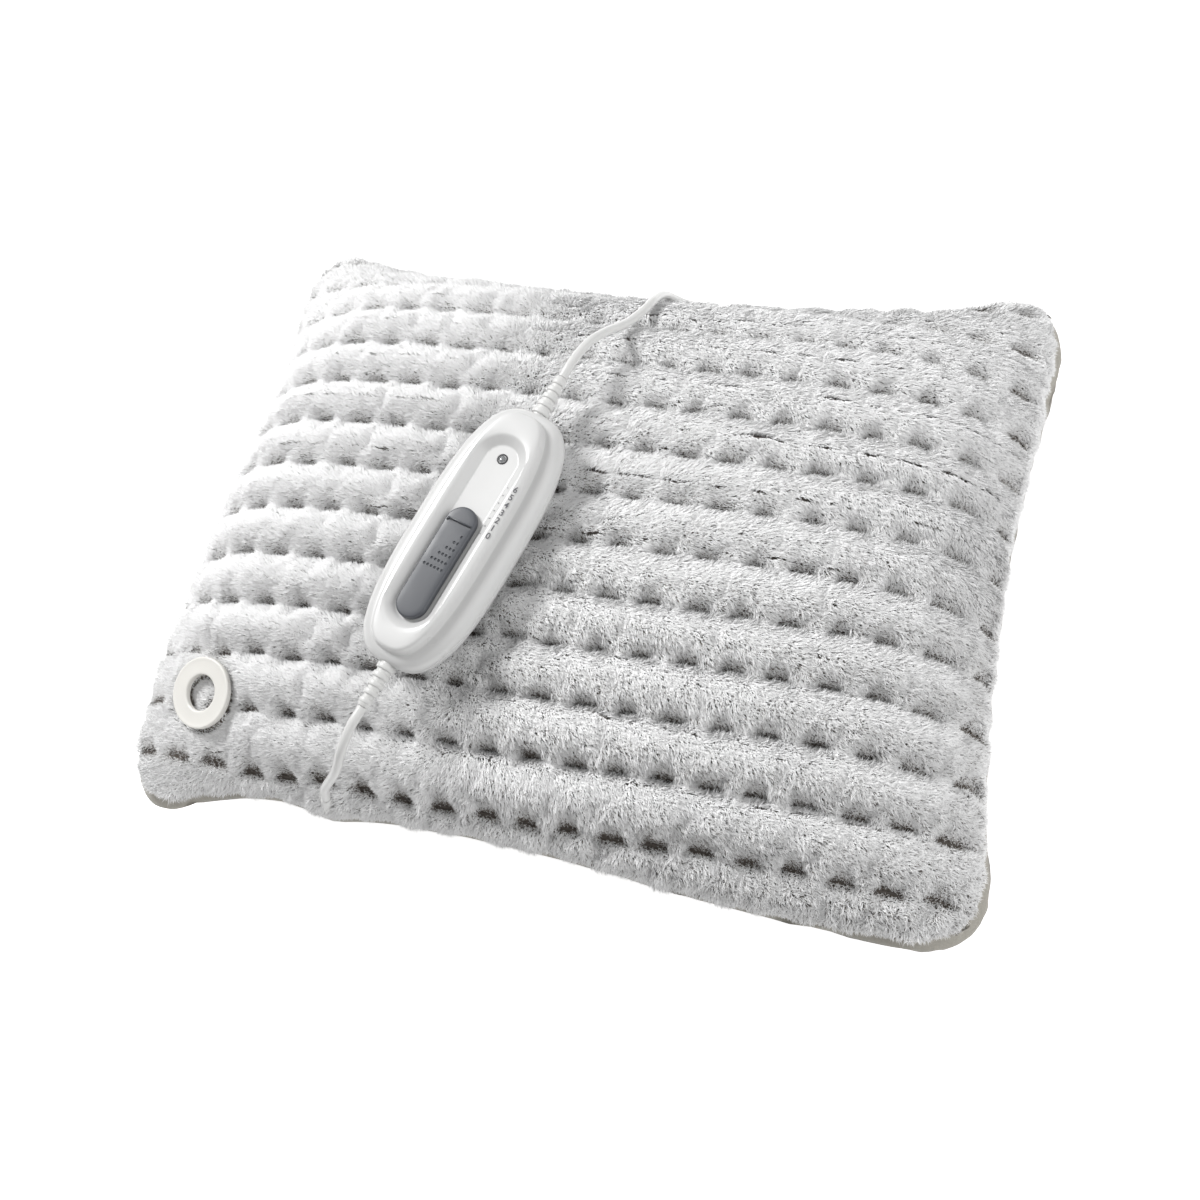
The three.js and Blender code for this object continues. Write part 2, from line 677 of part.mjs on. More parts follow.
add(root, 'inner_lead', rod(
  LEAD_DIAMETER,
  stubEnd.clone().add(new THREE.Vector3(0, GAP, 0)),
  new THREE.Vector3(GLAND_X, JUNCTION_Y - junctionDepth / 2 - GAP, SEAM_Z),
  CORD_SIDES,
), WHITE_SOFT);

// Trim ring, square to the crown under it and seated on the nearest point of the cover

function crownNormal(u, v) {
  const step = 0.01;
  const along = (du, dv) => {
    const [x, y] = planPoint(u + du, v + dv, 0);
    return new THREE.Vector3(x, y, CROWN * crownSwell(u + du, v + dv));
  };
  const across = along(step, 0).sub(along(-step, 0));
  const upwards = along(0, step).sub(along(0, -step));
  return across.cross(upwards).normalize();
}

const ringU = ringX / SIDE_MID;
const ringV = ringY / FRONT_MID;
const ringNormal = crownNormal(ringU, ringV);
const ringFoot = new THREE.Vector3(ringX, ringY, topRimZ + CROWN * crownSwell(ringU, ringV));

// Height of the plush over a point of the ring's plane, along the ring's normal
function plushOver(point) {
  const start = point.clone().addScaledVector(ringNormal, CROWN);
  const caster = new THREE.Raycaster(start, ringNormal.clone().negate());
  return CROWN - caster.intersectObject(plushCover)[0].distance;
}

const ringTurn = new THREE.Quaternion().setFromUnitVectors(new THREE.Vector3(0, 0, 1), ringNormal);
const ringSides = 24;
const ringSeat = [];
for (const radius of [RING_BORE / 2, (RING_BORE + RING_OUTER) / 4, RING_OUTER / 2]) {
  for (let side = 0; side < 2 * ringSides; side += 1) {
    const angle = (side / ringSides) * Math.PI;
    const spoke = new THREE.Vector3(radius * Math.cos(angle), radius * Math.sin(angle), 0);
    ringSeat.push(plushOver(spoke.applyQuaternion(ringTurn).add(ringFoot)));
  }
}
const ringLift = Math.max(...ringSeat);
const trimRing = add(root, 'trim_ring', turned([
  [RING_BORE / 2, 0],
  [RING_OUTER / 2, 0],
  [RING_OUTER / 2, RING_THICKNESS / 2],
  [RING_OUTER / 2 - RING_EDGE, RING_THICKNESS - RING_EDGE / 3],
  [RING_OUTER / 2 - RING_CREST, RING_THICKNESS],
  [RING_BORE / 2 + RING_EDGE, RING_THICKNESS - RING_EDGE],
  [RING_BORE / 2, RING_THICKNESS / 3],
  [RING_BORE / 2, 0],
], ringSides), IVORY);
trimRing.position.copy(ringFoot).addScaledVector(ringNormal, ringLift + GAP);
trimRing.quaternion.copy(ringTurn);

// Controller, built flat with its long axis on Y, then laid on the pad

const controller = new THREE.Group();
controller.rotation.set(CASE_TILT, 0, CASE_TURN, 'ZYX');
const caseAxis = new THREE.Vector3(0, 1, 0).applyEuler(controller.rotation);
const planAxis = new THREE.Vector2(caseAxis.x, caseAxis.y).normalize();
const restHeight = Math.max(...plushGrid.points.map((point) => {
  const offset = new THREE.Vector2(point.x - CASE_X, point.y - CASE_Y);
  const along = offset.dot(planAxis);
  const beside = Math.abs(offset.cross(planAxis));
  const under = Math.abs(along) < CASE_LENGTH / 2 && beside < CASE_WIDTH / 2;
  return under ? point.z - along * Math.tan(CASE_TILT) : -Infinity;
}));
controller.position.set(CASE_X, CASE_Y, restHeight + GAP);
root.add(controller);

const halfWidth = CASE_WIDTH / 2;
const halfLength = CASE_LENGTH / 2;
const plateauZ = CASE_HEIGHT;
const recessZ = plateauZ - RECESS_DEPTH;
const deckZ = recessZ - DECK_WALL;
const grooveZ = plateauZ - GROOVE_DROP;
const travel = SETTING_STEPS * SETTING_PITCH;
const recessLength = CASE_LENGTH - 2 * RECESS_END_SPACE;
const floorLength = recessLength - 2 * RECESS_SLOPE;
const sliderLength = floorLength - travel - LAMP_ROOM;
const sliderY = RECESS_Y - floorLength / 2 + SLIDER_END_SPACE + sliderLength / 2; // at setting 0
const lampY = RECESS_Y + recessLength / 2 - LED_END_SPACE;
const screwX = halfWidth - SCREW_SIDE_SPACE;
const screwY = halfLength - SCREW_END_SPACE;
const clampY = halfLength - CLAMP_END_SPACE;
const boardWidth = CASE_WIDTH - 2 * BOARD_SIDE_SPACE;
const boardLength = 2 * (screwY - BOSS_DIAMETER / 2 - BOARD_SPACE);

function caseRing(inset, z, endShare = 1) {
  return superellipse(halfWidth - inset, halfLength - inset * endShare, CASE_POWER, z);
}

const topSkin = [
  [0, PARTING_Z + GAP / 2],
  [0, PARTING_Z + SKIRT_HEIGHT],
  ...GROOVE_CURVE.map(([share, drop]) => [GROOVE_INSET * share, grooveZ - drop, END_SHARE]),
  [GROOVE_INSET, grooveZ, END_SHARE],
  [GROOVE_INSET + GROOVE_WALL[0], grooveZ + GROOVE_WALL[1], END_SHARE],
  [PLATEAU_INSET - PLATEAU_EDGE, plateauZ - PLATEAU_EDGE, END_SHARE],
  [PLATEAU_INSET, plateauZ, END_SHARE],
];
const topCavity = [
  [CASE_WALL, PARTING_Z - OVERCUT],
  [CASE_WALL + CAVITY_LEAN, PARTING_Z + CAVITY_SHOULDER],
  [PLATEAU_INSET + CAVITY_LEAN, deckZ, END_SHARE],
];
const bottomSkin = [
  ...FOOT_CURVE.map(([share, height]) => [FOOT_INSET * share, height]),
  [0, PARTING_Z - GAP / 2],
];
const [, , footBend] = bottomSkin;
const bottomCavity = [
  [FOOT_INSET + CAVITY_LEAN, CASE_WALL],
  [footBend[0] + CASE_WALL, footBend[1] + CASE_WALL / 4],
  [CASE_WALL, PARTING_Z + OVERCUT],
];
const ringsOf = (skin) => skin.map((ring) => caseRing(...ring));
const ends = [1, -1];
const screwPlaces = [
  ['front_left', -1, -1],
  ['front_right', 1, -1],
  ['back_left', -1, 1],
  ['back_right', 1, 1],
].map(([name, sideX, sideY]) => ({ name, x: sideX * screwX, y: sideY * screwY }));
const screwSeatZ = GAP + SCREW_HEAD_HEIGHT;
const screwTipZ = PARTING_Z + SCREW_REACH;

// Bore for the neck of a strain relief through one end wall
function neckBore(end) {
  const from = new THREE.Vector3(0, end * (halfLength - CASE_WALL * 2), PARTING_Z);
  const to = new THREE.Vector3(0, end * (halfLength + CASE_WALL), PARTING_Z);
  return rod(NECK_DIAMETER + 2 * GAP, from, to);
}

const slotLength = STEM_LENGTH + travel + 2 * STEM_SLOT_PLAY;
const slotY = sliderY + travel / 2;
const deckCut = RECESS_DEPTH + DECK_WALL + 2 * OVERCUT;
const recess = loft([
  stadium(RECESS_WIDTH - 2 * RECESS_SLOPE, floorLength, RECESS_Y, recessZ),
  stadium(RECESS_WIDTH, recessLength, RECESS_Y, plateauZ),
  stadium(RECESS_WIDTH, recessLength, RECESS_Y, plateauZ + OVERCUT),
]);
const bossTop = deckZ + DECK_WALL / 2;
const upperBosses = screwPlaces.map(({ x, y }) => (
  post(BOSS_DIAMETER, x, y, PARTING_Z + GAP / 2, bossTop, SCREW_SIDES)
));
const caseTopShell = join(cut(loft(ringsOf(topSkin)), loft(ringsOf(topCavity)), recess), ...upperBosses);
add(controller, 'case_top', cut(
  caseTopShell,
  box(STEM_WIDTH + 2 * STEM_SLOT_PLAY, slotLength, deckCut, 0, slotY, deckZ - OVERCUT),
  post(LED_WINDOW_DIAMETER + 2 * GAP, 0, lampY, deckZ - OVERCUT, plateauZ),
  ...ends.map(neckBore),
  ...screwPlaces.map(({ x, y }) => (
    post(SCREW_DIAMETER + 2 * GAP, x, y, PARTING_Z - OVERCUT, screwTipZ + OVERCUT, SCREW_SIDES)
  )),
), WHITE_GLOSS);

const ribY = boardLength / 2 - RIB_SPACE;
const ribHeight = BOARD_Z - GAP - CASE_WALL / 2;
const postTop = PARTING_Z - GAP / 2;
const clampX = CLAMP_SIZE[0] / 2 - CLAMP_POST / 2;
const caseBottomShell = join(
  cut(loft(ringsOf(bottomSkin)), loft(ringsOf(bottomCavity))),
  ...ends.map((end) => box(boardWidth, RIB_THICKNESS, ribHeight, 0, end * ribY, CASE_WALL / 2)),
  ...screwPlaces.map(({ x, y }) => post(BOSS_DIAMETER, x, y, CASE_WALL / 2, postTop, SCREW_SIDES)),
  ...ends.flatMap((end) => [-clampX, clampX].map((x) => (
    box(CLAMP_POST, CLAMP_SIZE[1], PARTING_Z - 2 * GAP - CASE_WALL / 2, x, end * clampY, CASE_WALL / 2)
  ))),
);
add(controller, 'case_bottom', cut(
  caseBottomShell,
  ...ends.map(neckBore),
  ...screwPlaces.flatMap(({ x, y }) => [
    post(SCREW_DIAMETER + 2 * GAP, x, y, -OVERCUT, PARTING_Z, SCREW_SIDES),
    post(SCREW_HEAD_DIAMETER + 2 * GAP, x, y, -OVERCUT, screwSeatZ + GAP, SCREW_SIDES),
  ]),
), WHITE_GLOSS);

for (const { name, x, y } of screwPlaces) {
  add(controller, `case_screw_${name}`, turned([
    [0, GAP],
    [SCREW_HEAD_DIAMETER / 2, GAP],
    [SCREW_HEAD_DIAMETER / 2, screwSeatZ],
    [SCREW_DIAMETER / 2, screwSeatZ],
    [SCREW_DIAMETER / 2, screwTipZ],
    [0, screwTipZ],
  ], SCREW_SIDES).translate(x, y, 0), STEEL);
}

// Slider, with its carriage and wiper under the deck

const sliderBottom = recessZ + GAP;
const carriageTop = deckZ - GAP;
const carriageBottom = carriageTop - CARRIAGE_THICKNESS;
const stemBottom = carriageBottom + GAP;
const knob = loft([
  stadium(SLIDER_WIDTH, sliderLength, sliderY, sliderBottom),
  stadium(SLIDER_WIDTH, sliderLength, sliderY, sliderBottom + SLIDER_HEIGHT - SLIDER_EDGE),
  stadium(
    SLIDER_WIDTH - 2 * SLIDER_EDGE,
    sliderLength - 2 * SLIDER_EDGE,
    sliderY,
    sliderBottom + SLIDER_HEIGHT,
  ),
]);
const stem = box(
  STEM_WIDTH,
  STEM_LENGTH,
  sliderBottom + SLIDER_HEIGHT / 2 - stemBottom,
  0,
  sliderY,
  stemBottom,
);
add(controller, 'slider_knob', join(knob, stem), SLATE);

const railInnerX = CARRIAGE_WIDTH / 2 + NOTCH_DEPTH + 2 * GAP;
const nibReach = railInnerX - GAP;
const carriagePlate = join(
  box(CARRIAGE_WIDTH, CARRIAGE_LENGTH, CARRIAGE_THICKNESS, 0, sliderY, carriageBottom),
  box(nibReach, SETTING_PITCH / 4, RAIL_THICKNESS, nibReach / 2, sliderY, carriageTop - RAIL_THICKNESS),
);
add(controller, 'slider_carriage', cut(
  carriagePlate,
  box(
    STEM_WIDTH + 2 * GAP,
    STEM_LENGTH + 2 * GAP,
    CARRIAGE_THICKNESS + 2 * OVERCUT,
    0,
    sliderY,
    carriageBottom - OVERCUT,
  ),
), WHITE_SOFT);

// Toothed rail beside the carriage, one notch for each setting
function detentRail() {
  const outline = new THREE.Shape();
  const start = sliderY - SETTING_PITCH;
  outline.moveTo(railInnerX + RAIL_WIDTH, start);
  outline.lineTo(railInnerX + RAIL_WIDTH, sliderY + travel + SETTING_PITCH);
  outline.lineTo(railInnerX, sliderY + travel + SETTING_PITCH);
  for (let step = SETTING_STEPS; step >= 0; step -= 1) {
    const y = sliderY + step * SETTING_PITCH;
    outline.lineTo(railInnerX, y + SETTING_PITCH / 4);
    outline.lineTo(railInnerX + NOTCH_DEPTH, y);
    outline.lineTo(railInnerX, y - SETTING_PITCH / 4);
  }
  outline.lineTo(railInnerX, start);
  outline.closePath();
  const extrude = { depth: RAIL_THICKNESS, bevelEnabled: false };
  return new THREE.ExtrudeGeometry(outline, extrude).translate(0, 0, carriageTop - RAIL_THICKNESS);
}
add(controller, 'detent_rail', detentRail(), STEEL);

const boardTop = BOARD_Z + BOARD_THICKNESS;
const partZ = boardTop + GAP; // underside of what stands on the board
const stripTop = partZ + STRIP_THICKNESS;
const wiperTop = carriageBottom - GAP;

// Outline of a thin bent strip about its centre line
function stripOutline(line, thickness) {
  const normalAt = (i) => {
    const before = line[i].clone().sub(line[Math.max(i - 1, 0)]).normalize();
    const after = line[Math.min(i + 1, line.length - 1)].clone().sub(line[i]).normalize();
    const along = before.add(after).normalize();
    return new THREE.Vector2(-along.y, along.x);
  };
  const offset = (side) => line.map((point, i) => (
    point.clone().addScaledVector(normalAt(i), (side * thickness) / 2)
  ));
  return new THREE.Shape([...offset(-1), ...offset(1).reverse()]);
}

// Folded spring leaf from the carriage down to the contact strip
function wiper() {
  const high = wiperTop - WIPER_THICKNESS / 2;
  const low = stripTop + GAP + WIPER_THICKNESS;
  const reach = WIPER_LENGTH / 2;
  const bend = WIPER_THICKNESS * 2;
  const outline = stripOutline([
    new THREE.Vector2(-reach, high),
    new THREE.Vector2(reach - bend, high),
    new THREE.Vector2(reach, high - bend),
    new THREE.Vector2(reach - bend, high - 2 * bend),
    new THREE.Vector2(-reach + bend, low),
    new THREE.Vector2(-reach, low + bend),
  ], WIPER_THICKNESS);
  const extrude = { depth: WIPER_WIDTH, bevelEnabled: false };
  const geometry = new THREE.ExtrudeGeometry(outline, extrude).translate(0, 0, -WIPER_WIDTH / 2);
  const upright = new THREE.Matrix4().makeBasis(
    new THREE.Vector3(0, 1, 0),
    new THREE.Vector3(0, 0, 1),
    new THREE.Vector3(1, 0, 0),
  );
  return geometry.applyMatrix4(upright).translate(0, sliderY, 0);
}
add(controller, 'wiper_contact', wiper(), COPPER);

// Circuit board and its parts

add(
  controller,
  'circuit_board',
  box(boardWidth, boardLength, BOARD_THICKNESS, 0, 0, BOARD_Z),
  BOARD_GREEN,
);
add(
  controller,
  'contact_strip',
  box(STRIP_WIDTH, travel + CARRIAGE_LENGTH + STRIP_SPARE, STRIP_THICKNESS, 0, slotY, partZ),
  COPPER,
);
const ledTop = deckZ - GAP - LED_FLANGE_THICKNESS - GAP;
add(controller, 'status_led', post(LED_DIAMETER, 0, lampY, partZ, ledTop), IVORY);
add(controller, 'led_window', turned([
  [0, ledTop + GAP],
  [LED_FLANGE_DIAMETER / 2, ledTop + GAP],
  [LED_FLANGE_DIAMETER / 2, deckZ - GAP],
  [LED_WINDOW_DIAMETER / 2, deckZ - GAP],
  [LED_WINDOW_DIAMETER / 2, recessZ],
  [0, recessZ],
], 16).translate(0, lampY, 0), SMOKE);
add(controller, 'triac', box(...TRIAC_SIZE, 0, lampY - TRIAC_SIZE[1] - TRIAC_SPACE, partZ), BLACK);
const capacitorX = (boardWidth - CAPACITOR_SIZE[0]) / 2 - CAPACITOR_SPACE;
add(controller, 'film_capacitor', box(...CAPACITOR_SIZE, capacitorX, slotY, partZ), IVORY);
const fuseX = -boardWidth / 2 + FUSE_DIAMETER;
add(controller, 'glass_fuse', rod(
  FUSE_DIAMETER,
  new THREE.Vector3(fuseX, -FUSE_LENGTH / 2, partZ + FUSE_DIAMETER / 2),
  new THREE.Vector3(fuseX, FUSE_LENGTH / 2, partZ + FUSE_DIAMETER / 2),
), SMOKE);

// Strain relief about Z: flange inside the end wall, neck through it, ribbed sleeve outside
function ribbedSleeve(neckLength) {
  const profile = [
    [0, -neckLength - FLANGE_THICKNESS],
    [FLANGE_DIAMETER / 2, -neckLength - FLANGE_THICKNESS],
    [FLANGE_DIAMETER / 2, -neckLength],
    [NECK_DIAMETER / 2, -neckLength],
    [NECK_DIAMETER / 2, 0],
  ];
  const pitch = RELIEF_LENGTH / RELIEF_RIBS;
  for (let rib = 0; rib < RELIEF_RIBS; rib += 1) {
    const share = rib / (RELIEF_RIBS - 1);
    const radius = THREE.MathUtils.lerp(RELIEF_ROOT_DIAMETER, RELIEF_TIP_DIAMETER, share) / 2;
    profile.push([radius, rib * pitch], [radius, (rib + RELIEF_RIB_SHARE) * pitch]);
    if (rib + 1 < RELIEF_RIBS) {
      const grooved = radius - RELIEF_GROOVE;
      profile.push([grooved, (rib + RELIEF_RIB_SHARE) * pitch], [grooved, (rib + 1) * pitch]);
    }
  }
  profile.push([RELIEF_TIP_DIAMETER / 2, RELIEF_LENGTH], [0, RELIEF_LENGTH]);
  return turned(profile, RELIEF_SIDES);
}

const neckLength = CASE_WALL + GAP + FLANGE_SETBACK;
const reliefY = halfLength + GAP;
const tailStart = reliefY - neckLength - FLANGE_THICKNESS - GAP;
const blockY = boardLength / 2 - BLOCK_SIZE[1] / 2;
for (const [name, end] of [['mains', 1], ['pad', -1]]) {
  const relief = ribbedSleeve(neckLength).rotateX(-end * Math.PI / 2).translate(0, end * reliefY, PARTING_Z);
  add(controller, `${name}_strain_relief`, relief, WHITE_SOFT);
  add(controller, `${name}_terminal_block`, box(...BLOCK_SIZE, -BLOCK_SIDE, end * blockY, partZ), BLACK);
  add(controller, `${name}_cord_tail`, rod(
    LEAD_DIAMETER,
    new THREE.Vector3(0, end * (boardLength / 2 + GAP), PARTING_Z),
    new THREE.Vector3(0, end * tailStart, PARTING_Z),
    CORD_SIDES,
  ), WHITE_SOFT);
  const tailRoom = rod(
    LEAD_DIAMETER + 2 * GAP,
    new THREE.Vector3(0, end * (clampY - CLAMP_SIZE[1]), PARTING_Z),
    new THREE.Vector3(0, end * (clampY + CLAMP_SIZE[1]), PARTING_Z),
  );
  const bridge = box(...CLAMP_SIZE, 0, end * clampY, PARTING_Z - GAP);
  add(controller, `${name}_cord_clamp`, cut(bridge, tailRoom), BLACK);
}

// Leads, which leave the strain reliefs and the gland straight

controller.updateMatrixWorld(true);

function reliefExit(end, beyond) {
  const tip = new THREE.Vector3(0, end * (reliefY + RELIEF_LENGTH + GAP + beyond), PARTING_Z);
  return controller.localToWorld(tip);
}

const leadStart = 2 * LEAD_DIAMETER; // straight stretch at a relief or a gland
const padRoute = [
  reliefExit(-1, 0),
  reliefExit(-1, leadStart),
  ...PAD_LEAD_WAY.map((point) => new THREE.Vector3(...point)),
  glandTop.clone().addScaledVector(GLAND_AXIS, GAP + leadStart),
  glandTop.clone().addScaledVector(GLAND_AXIS, GAP),
];
add(root, 'pad_lead', cordAlong(padRoute), WHITE_SOFT);

// Hank of two layers: it spirals in on the floor, climbs one layer and spirals out again
const hankZ = TIE_Z + TIE_THICKNESS + GAP + LEAD_DIAMETER / 2;
const hankTurnPoints = 2 * (HANK_RUN_POINTS + HANK_FOLD_POINTS);
const hankLength = 2 * HANK_TURNS + HANK_RUN_POINTS / hankTurnPoints; // in turns, ending after a run
const hankOuter = HANK_FOLD + (hankLength - HANK_TURNS) * HANK_PITCH;

function hankRoute() {
  const route = [];
  const total = Math.round(hankLength * hankTurnPoints);
  for (let step = 0; step <= total; step += 1) {
    const turn = step / hankTurnPoints;
    const radius = HANK_FOLD + HANK_PITCH * Math.abs(turn - HANK_TURNS);
    const climb = THREE.MathUtils.clamp((turn - HANK_TURNS) * 2 + 0.5, 0, 1);
    const half = Math.floor((turn % 1) * 2 + 1e-9);
    const side = half === 0 ? 1 : -1;
    const along = step % (HANK_RUN_POINTS + HANK_FOLD_POINTS);
    const z = hankZ + HANK_PITCH * climb;
    if (along < HANK_RUN_POINTS) {
      const x = side * HANK_RUN * (0.5 - along / HANK_RUN_POINTS);
      route.push(new THREE.Vector3(x, HANK_Y + side * radius, z));
    } else {
      const angle = ((along - HANK_RUN_POINTS) / HANK_FOLD_POINTS) * Math.PI;
      const x = -side * (HANK_RUN / 2 + radius * Math.sin(angle));
      route.push(new THREE.Vector3(x, HANK_Y + side * radius * Math.cos(angle), z));
    }
  }
  const straight = new THREE.Vector3(LEAD_DIAMETER, 0, 0);
  return [route[0].clone().add(straight), ...route, route.at(-1).clone().sub(straight)];
}

const hank = hankRoute();
add(root, 'mains_lead_hank', tubeThrough(hank, LEAD_DIAMETER, HANK_SIDES), WHITE_SOFT);

// Least gap between turns, on points along the hank that are more than a quarter turn apart
function leastGap(route) {
  const curve = new THREE.CurvePath();
  route.slice(1).forEach((point, i) => curve.add(new THREE.LineCurve3(route[i], point)));
  const spacing = LEAD_DIAMETER / 2;
  const points = curve.getSpacedPoints(Math.round(curve.getLength() / spacing));
  const skip = Math.ceil((Math.PI * HANK_FOLD) / 2 / spacing);
  let least = Infinity;
  points.forEach((point, i) => {
    for (let j = i + skip; j < points.length; j += 1) least = Math.min(least, point.distanceTo(points[j]));
  });
  return least - LEAD_DIAMETER;
}
console.log(`least gap between turns of the hank: ${leastGap(hank).toFixed(2)} mm`);

const mainsRoute = [
  reliefExit(1, 0),
  reliefExit(1, leadStart),
  ...MAINS_LEAD_WAY.map((point) => new THREE.Vector3(...point)),
  hank[0].clone().add(new THREE.Vector3(GAP + leadStart, 0, 0)),
  hank[0].clone().add(new THREE.Vector3(GAP, 0, 0)),
];
add(root, 'mains_lead', cordAlong(mainsRoute), WHITE_SOFT);

// Tie round the waist of the hank
const tieHole = 2 * (hankOuter + LEAD_DIAMETER / 2 + GAP);
const tieHeight = LEAD_DIAMETER + HANK_PITCH + 2 * GAP;
const tieBottom = TIE_Z + TIE_THICKNESS;
add(root, 'cord_tie', cut(
  box(TIE_WIDTH, tieHole + 2 * TIE_THICKNESS, tieHeight + 2 * TIE_THICKNESS, 0, HANK_Y, TIE_Z),
  box(TIE_WIDTH + 2 * OVERCUT, tieHole, tieHeight, 0, HANK_Y, tieBottom),
), BLACK);

// Two-pin plug, lying flat with its pins towards -X
const plugZ = PLUG_THICKNESS / 2 + TIE_Z;
const plug = new THREE.Group();
plug.position.set(PLUG_X, PLUG_Y, plugZ);
plug.rotation.z = Math.PI / 2;
root.add(plug);

function plugBody() {
  const half = PLUG_WIDTH / 2;
  const tail = PLUG_LENGTH - PLUG_EDGE;
  const outline = new THREE.Shape([
    new THREE.Vector2(FLANGE_DIAMETER / 2, PLUG_EDGE),
    new THREE.Vector2(half - PLUG_EDGE, PLUG_SIDE[0]),
    new THREE.Vector2(half - PLUG_EDGE, PLUG_SIDE[1]),
    new THREE.Vector2(PLUG_FACE_WIDTH / 2, tail),
    new THREE.Vector2(-PLUG_FACE_WIDTH / 2, tail),
    new THREE.Vector2(-half + PLUG_EDGE, PLUG_SIDE[1]),
    new THREE.Vector2(-half + PLUG_EDGE, PLUG_SIDE[0]),
    new THREE.Vector2(-FLANGE_DIAMETER / 2, PLUG_EDGE),
  ]);
  return new THREE.ExtrudeGeometry(outline, {
    depth: PLUG_THICKNESS - 2 * PLUG_EDGE,
    bevelEnabled: true,
    bevelThickness: PLUG_EDGE,
    bevelSize: PLUG_EDGE,
    bevelSegments: 2,
  }).translate(0, 0, -PLUG_THICKNESS / 2 + PLUG_EDGE);
}
add(plug, 'plug_body', plugBody(), WHITE_SOFT);
for (const [name, side] of [['left', -1], ['right', 1]]) {
  const tip = PLUG_LENGTH + GAP + PIN_LENGTH;
  add(plug, `plug_pin_${name}`, turned([
    [0, PLUG_LENGTH + GAP],
    [PIN_DIAMETER / 2, PLUG_LENGTH + GAP],
    [PIN_DIAMETER / 2, tip - PIN_DIAMETER / 4],
    [PIN_DIAMETER / 4, tip],
    [0, tip],
  ], PIN_SIDES).rotateX(-Math.PI / 2).translate(side * PIN_SPACING / 2, 0, 0), STEEL);
}
const plugRelief = turned([
  [0, -RELIEF_LENGTH],
  [RELIEF_TIP_DIAMETER / 2, -RELIEF_LENGTH],
  [RELIEF_ROOT_DIAMETER / 2, -GAP],
  [0, -GAP],
], RELIEF_SIDES).rotateX(-Math.PI / 2);
add(plug, 'plug_strain_relief', plugRelief, WHITE_SOFT);

const plugEntry = new THREE.Vector3(PLUG_X + RELIEF_LENGTH + GAP, PLUG_Y, plugZ);
const hankEnd = hank.at(-1);
const plugRoute = [
  hankEnd.clone().sub(new THREE.Vector3(GAP, 0, 0)),
  hankEnd.clone().sub(new THREE.Vector3(GAP + leadStart, 0, 0)),
  plugEntry.clone().add(new THREE.Vector3(leadStart, 0, 0)),
  plugEntry,
];
add(root, 'plug_lead', cordAlong(plugRoute), WHITE_SOFT);

export default root;
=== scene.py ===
"""Looks of a quilted plush heating pad with its slider controller, leads and plug.

Sizes are in millimetres in the frame of the part, and become metres in the meshes.
"""

import json
import math
from functools import partial

import bpy
import numpy as np
from mathutils import Matrix, Vector
from mathutils.bvhtree import BVHTree


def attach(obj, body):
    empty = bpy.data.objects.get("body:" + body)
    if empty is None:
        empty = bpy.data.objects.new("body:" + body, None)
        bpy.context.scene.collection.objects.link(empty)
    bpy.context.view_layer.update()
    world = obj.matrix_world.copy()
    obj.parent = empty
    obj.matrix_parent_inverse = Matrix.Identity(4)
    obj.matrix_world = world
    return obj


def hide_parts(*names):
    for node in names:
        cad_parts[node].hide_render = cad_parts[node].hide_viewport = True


MM = 0.001
# Angle in degrees past which no edge is sharp
ALL_SMOOTH = 180.0

# Camera, in the part's frame
CAMERA_PLACE = (191.36, -257.16, 628.65)
CAMERA_RIGHT = (0.95188, 0.23270, -0.19943)
CAMERA_UP = (-0.13666, 0.90475, 0.40342)
CAMERA_LENS = 42.42
SENSOR_WIDTH = 36

# Floor, world and lamps: a lamp's name, direction, distance and size in metres, and power
FLOOR_HALF = 3000.0
FLOOR_GREY = 0.9
FLOOR_GLOW = 0.72
WORLD_LEVEL = 0.42
LAMPS = [
    ("key", (-0.64, 0.33, 0.69), 1.5, 0.4, 20.0),
    ("fill", (0.85, -0.05, 0.52), 1.8, 1.5, 17.0),
]
LAMP_AIM = (0, 0, 80.0)

# Finishes: the relief's depth in metres, the middle range of a noise, the pile's colours from root to tip,
# whose dark root is partly the fibre's own taupe and partly painted shade deep in the pile
GRAIN_DEPTH = 0.0002
CLOTH_DEPTH = 0.0004
NOISE_RANGE = (0.3, 0.7)
PILE_RAMP = [
    (0.0, (0.16, 0.136, 0.115)),
    (0.08, (0.63, 0.612, 0.594)),
    (0.2, (0.92, 0.917, 0.913)),
    (0.6, (0.98, 0.98, 0.98)),
]
# Where a fibre's tone, which carries painted light and shade, leaves the ramp alone, how far it shifts it,
# and how it dims the colour
TONE_MIDDLE = 0.75
TONE_REACH = 0.9
TONE_DIM = (0.24, 0.78)

# Pad outline at the seam, and its two faces
SIDE_MID = 191.0
SIDE_CORNER = 204.0
FRONT_MID = 144.0
FRONT_CORNER = 155.0
BACK_MID = 136.5
BACK_CORNER = 156.4
CORNER_RADIUS = 40.0
RIM_POWER = 12
SEAM_Z = 42.0
CROWN = 51.3
BELLY = 46.0
CROWN_POWER_X = 4.3
CROWN_POWER_FRONT = 2.35
CROWN_POWER_BACK = 3.1
BELLY_POWER = 2.3
CORNER_MARGIN = 0.004
BACK_STATIONS = ((60, 2.4), (56, 2.4))
# How far the back cover bulges outward, by its share of the fall to the floor
BACK_SETTLE = [(0, 0), (0.1, 0.6), (0.2, 2.4), (0.35, 3.8), (0.5, 2.8), (0.8, 0), (1, 0)]
BACK_TUCK_FADE = 0.14
BACK_TUCK_POWER = 1.5
BACK_LIFT = 0.4
BACK_LIFT_FADE = 0.12
BACK_CREASE = 0.5
